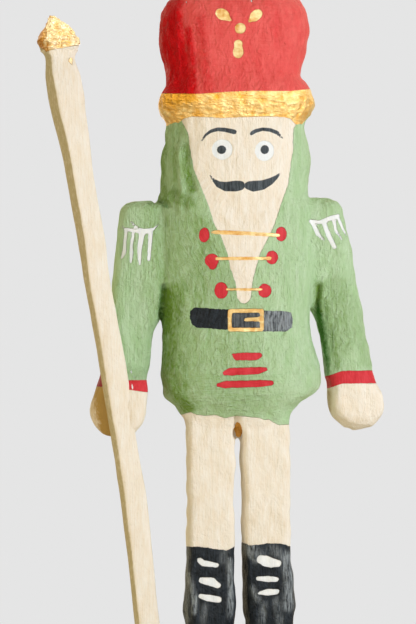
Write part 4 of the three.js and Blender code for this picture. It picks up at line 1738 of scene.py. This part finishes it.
@dataclass
class Plinth:
    """The low board with rounded corners that carries the soldier.

    Attributes:
        low: Its lowest corner, in millimetres.
        high: Its highest corner.
        corner_mm: Radius of its upright corners.
        edge_mm: Rounding of its top and bottom edges.
    """

    low: np.ndarray
    high: np.ndarray
    corner_mm: float = 34.0
    edge_mm: float = 4.0

    # Points round the outline, round an edge, across the flat and up the side.
    SIDES = 240
    EDGE_STEPS = 7
    FLAT_STEPS = 22
    SIDE_STEPS = 9
    # The smallest rounding that a corner keeps, and how far the skin lies in.
    LEAST_CORNER_MM = 0.6
    SUNK_MM = 0.25
    # The seed, the size and the height in millimetres of the board's two kinds of lumps.
    LUMPS = ((21, 30.0, 0.25), (22, (18.0, 4.0, 4.0), 0.12))

    def build(self) -> bpy.types.Object:
        """Builds the board.

        A profile goes from the middle of the underside round the edge to the middle of the top. At
        each of its points, an inset gives a rounded rectangle: the corner circles' centres pulled in
        where the inset is more than the corner's radius.

        Returns:
            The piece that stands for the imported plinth.
        """
        half = (self.high - self.low)[:2] / 2
        top = self.high[2]
        arc = np.linspace(0, np.pi / 2, self.EDGE_STEPS)
        edge_in = self.edge_mm * (1 - np.sin(arc))
        edge_up = self.edge_mm * (1 - np.cos(arc))
        flat = np.linspace(min(half) - 0.5, self.edge_mm, self.FLAT_STEPS)[:-1]
        side = np.linspace(self.edge_mm, top - self.edge_mm, self.SIDE_STEPS)[1:-1]
        inset = np.concatenate([flat, edge_in, np.zeros(len(side)), edge_in[::-1], flat[::-1]])
        level = np.concatenate(
            [np.zeros(len(flat)), edge_up, side, top - edge_up[::-1], np.full(len(flat), top)]
        )
        ring = np.stack([self._outline(half, amount, self.SIDES) for amount in inset])
        wall = np.concatenate([ring, np.broadcast_to(level[:, None, None], (*ring.shape[:2], 1))], axis=2)
        ends = np.array([[0.0, 0.0, 0.0], [0.0, 0.0, top]])
        points = np.concatenate([wall.reshape(-1, 3), ends])
        surface = Surface(points, tube_faces(len(inset), self.SIDES))
        facing = normals_of(surface)
        loose = np.clip(points[:, 2] / self.edge_mm, 0.0, 1.0)
        relief = lumpy(points, self.LUMPS) - self.SUNK_MM
        points = points + facing * (relief * loose)[:, None]
        surface = Surface(points, surface.faces)
        across = np.ones(len(points))
        material = PaintedPaper(
            "brushed acrylic on a fibre board", Paint("plinth green", "#7f9d6c", "#64834f", "#64834f", 0.6)
        ).build()
        piece = finish_piece("plinth_board", surface, {"level": across, "slant": 0 * across}, material)
        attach(piece, "root")
        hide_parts("plinth")
        LOG.info("plinth: %d vertices", len(points))
        return piece

    def _outline(self, half: np.ndarray, inset: float, sides: int) -> np.ndarray:
        """A rounded rectangle pulled in by an inset, its points spread evenly by angle and corner.

        Args:
            half: Half the board's size along X and Y.
            inset: How far it is pulled in, in millimetres.
            sides: How many points it has.

        Returns:
            A (sides, 2) array.
        """
        radius = max(self.corner_mm - inset, self.LEAST_CORNER_MM)
        reach = half - inset
        centre = np.maximum(reach - radius, 0.0)
        quarter = sides // 4
        corners = []
        for turn, (sx, sy) in enumerate(((1, 1), (-1, 1), (-1, -1), (1, -1))):
            angle = (turn + np.linspace(0, 1, quarter, endpoint=False)) * np.pi / 2
            spread = np.stack([np.cos(angle), np.sin(angle)], axis=1) * np.minimum(radius, reach)
            corners.append(spread + centre * np.array([sx, sy]))
        return np.concatenate(corners)


# The studio


@dataclass(frozen=True)
class Softbox:
    """A square light that points at the soldier.

    Attributes:
        name: What it is called here.
        azimuth_deg: Its turn round him from his front, positive towards his left.
        elevation_deg: Its height above what it points at.
        distance_mm: How far it is from that.
        size_mm: Its side.
        watts: Its power.
        colour: Its colour in sRGB.
        aim_mm: How far above his chest it points.
    """

    name: str
    azimuth_deg: float
    elevation_deg: float
    distance_mm: float
    size_mm: float
    watts: float
    colour: str
    aim_mm: float = 0.0

    def build(self, chest: np.ndarray) -> None:
        """Puts up the light.

        Args:
            chest: The point on the soldier that the photograph's middle shows.
        """
        around, above = math.radians(self.azimuth_deg), math.radians(self.elevation_deg)
        way = Vector(
            (math.sin(around) * math.cos(above), -math.cos(around) * math.cos(above), math.sin(above))
        )
        data = bpy.data.lights.new(self.name, "AREA")
        data.size = self.size_mm * MM
        data.energy = self.watts
        data.color = linear(self.colour)[:3]
        light = bpy.data.objects.new(self.name, data)
        target = Vector((chest + np.array([0.0, 0.0, self.aim_mm])) * MM)
        light.location = target + way * self.distance_mm * MM
        light.rotation_euler = way.to_track_quat("Z", "Y").to_euler()
        bpy.context.scene.collection.objects.link(light)


@dataclass
class Studio:
    """Camera, lights and floor.

    Attributes:
        view: The photograph's viewpoint.
        backdrop: The even grey behind the soldier, in sRGB.
        floor_mm: Radius of the floor's disc.
        lit_mm: Radius within which the floor takes light, before it gives way to the even grey.
        fade_mm: Radius at which only the even grey is left.
        near_grey: How much of the even grey is mixed in within lit_mm already.
        paper: The floor paper's colour, in sRGB.
        ambient: Colour of the low light all round.
        ambient_strength: Its strength.
        ceiling: Colour of what glossy paint mirrors.
    """

    view: Viewpoint
    backdrop: str = "#e5e5e5"
    floor_mm: float = 60000.0
    lit_mm: float = 130.0
    fade_mm: float = 300.0
    near_grey: float = 0.6
    paper: str = "#e9e2d4"
    ambient: str = "#ffe8a6"
    ambient_strength: float = 0.36
    ceiling: str = "#fff5dc"

    LIGHTS = (
        Softbox("key", 46.0, 9.0, 1700.0, 420.0, 17.0, "#ebefff"),
        Softbox("front fill", -14.0, 4.0, 2400.0, 1000.0, 11.0, "#ebefff"),
        Softbox("reflector", -72.0, -4.0, 800.0, 460.0, 1.6, "#ffebc8", -150.0),
        Softbox("back fill", 173.0, 8.0, 2400.0, 1000.0, 15.0, "#fdf4ea"),
    )

    def build(self) -> None:
        """Sets up the whole studio."""
        self._camera()
        self._world()
        self._floor()
        for light in self.LIGHTS:
            light.build(self.view.aim())
        bpy.context.scene.view_settings.view_transform = "Standard"

    def _camera(self) -> None:
        """The photographer's camera: a long lens, level, slightly to the soldier's right."""
        data = bpy.data.cameras.new("camera")
        data.lens = self.view.lens_mm
        data.sensor_width = self.view.sensor_mm
        data.clip_end = 100.0
        camera = bpy.data.objects.new("camera", data)
        camera.location = Vector(self.view.camera() * MM)
        camera.rotation_euler = (math.radians(90), 0.0, math.radians(self.view.azimuth_deg))
        bpy.context.scene.collection.objects.link(camera)
        bpy.context.scene.camera = camera

    def _world(self) -> None:
        """An even pale grey behind everything, a low warm light all round, and a bright ceiling to glint."""
        world = bpy.data.worlds.new("studio")
        tree = emptied(world)
        around_him = {"Color": linear(self.ambient), "Strength": self.ambient_strength}
        ambient = node(tree, "Background", around_him)
        way = node(tree, "TexCoord", {}).outputs["Generated"]
        rise = node(tree, "SeparateXYZ", {0: way}).outputs["Z"]
        bright = node(
            tree,
            "MapRange",
            {0: rise, "From Min": 0.25, "From Max": 0.9, "To Min": 1.1, "To Max": 2.4},
            interpolation_type="SMOOTHSTEP",
        ).outputs[0]
        mirrored = node(tree, "Background", {"Color": linear(self.ceiling), "Strength": bright})
        paper = node(tree, "Background", {"Color": linear(self.backdrop), "Strength": 1.0})
        path = node(tree, "LightPath", {}).outputs
        around = node(
            tree,
            "MixShader",
            {0: path["Is Glossy Ray"], 1: ambient.outputs[0], 2: mirrored.outputs[0]},
        )
        both = node(
            tree, "MixShader", {0: path["Is Camera Ray"], 1: around.outputs[0], 2: paper.outputs[0]}
        )
        node(tree, "OutputWorld", {"Surface": both.outputs[0]})
        bpy.context.scene.world = world

    def _floor(self) -> None:
        """A pale disc that fades into the even grey away from the soldier."""
        sides = 96
        angle = np.linspace(0, 2 * np.pi, sides, endpoint=False)
        ring = np.stack([np.cos(angle), np.sin(angle), np.zeros(sides)], axis=1)
        points = np.concatenate([ring * self.floor_mm, ring * self.fade_mm, [[0.0, 0.0, 0.0]]])
        here, after = np.arange(sides), (np.arange(sides) + 1) % sides
        middle = np.full(sides, 2 * sides)
        outer = np.stack([here, after, sides + after, sides + here], axis=1)
        inner = np.stack([sides + here, sides + after, middle, middle], axis=1)
        disc = Surface(points, np.concatenate([outer, inner]))
        floor = finish_piece("floor", disc, {}, self._floor_paper())

    def _floor_paper(self) -> bpy.types.Material:
        """Matt background paper, evened out to the backdrop's grey with the distance from the middle.

        Returns:
            The material.
        """
        material = bpy.data.materials.new("background paper")
        tree = emptied(material)
        place = node(tree, "TexCoord", {}).outputs["Object"]
        away = node(tree, "VectorMath", {0: place}, operation="LENGTH").outputs["Value"]
        fade = {"From Min": self.lit_mm * MM, "From Max": self.fade_mm * MM, "To Min": self.near_grey}
        even = node(
            tree, "MapRange", {0: away, **fade}, interpolation_type="SMOOTHSTEP"
        ).outputs[0]
        direct = node(tree, "LightPath", {}).outputs["Is Camera Ray"]
        evened = node(tree, "Math", {0: even, 1: direct}, operation="MULTIPLY").outputs[0]
        paper = node(tree, "BsdfDiffuse", {"Color": linear(self.paper)})
        grey = node(tree, "Emission", {"Color": linear(self.backdrop)})
        both = node(tree, "MixShader", {0: evened, 1: paper.outputs[0], 2: grey.outputs[0]})
        node(tree, "OutputMaterial", {"Surface": both.outputs[0]})
        return material


def box_mm(name: str) -> tuple[np.ndarray, np.ndarray]:
    """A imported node's lowest and highest corner in millimetres."""
    low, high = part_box(name)
    return np.array(low) / MM, np.array(high) / MM


def main() -> None:
    """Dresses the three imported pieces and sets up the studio."""
    logging.basicConfig(level=logging.INFO, format="%(name)s: %(message)s")
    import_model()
    figure_low, figure_high = box_mm("figure")
    staff_low, staff_high = box_mm("staff")
    view = Viewpoint(float(figure_high[2] - figure_low[2]), float(figure_low[2]))
    Soldier(view).build()
    staff_y = float(staff_low[1] + staff_high[1]) / 2
    height = float(staff_high[2] - staff_low[2])
    Staff(view, height, (STAFF_FOOT_X * view.height_mm, staff_y, float(staff_low[2]))).build()
    Plinth(*box_mm("plinth")).build()
    Studio(view).build()


if __name__ == "__main__":
    main()
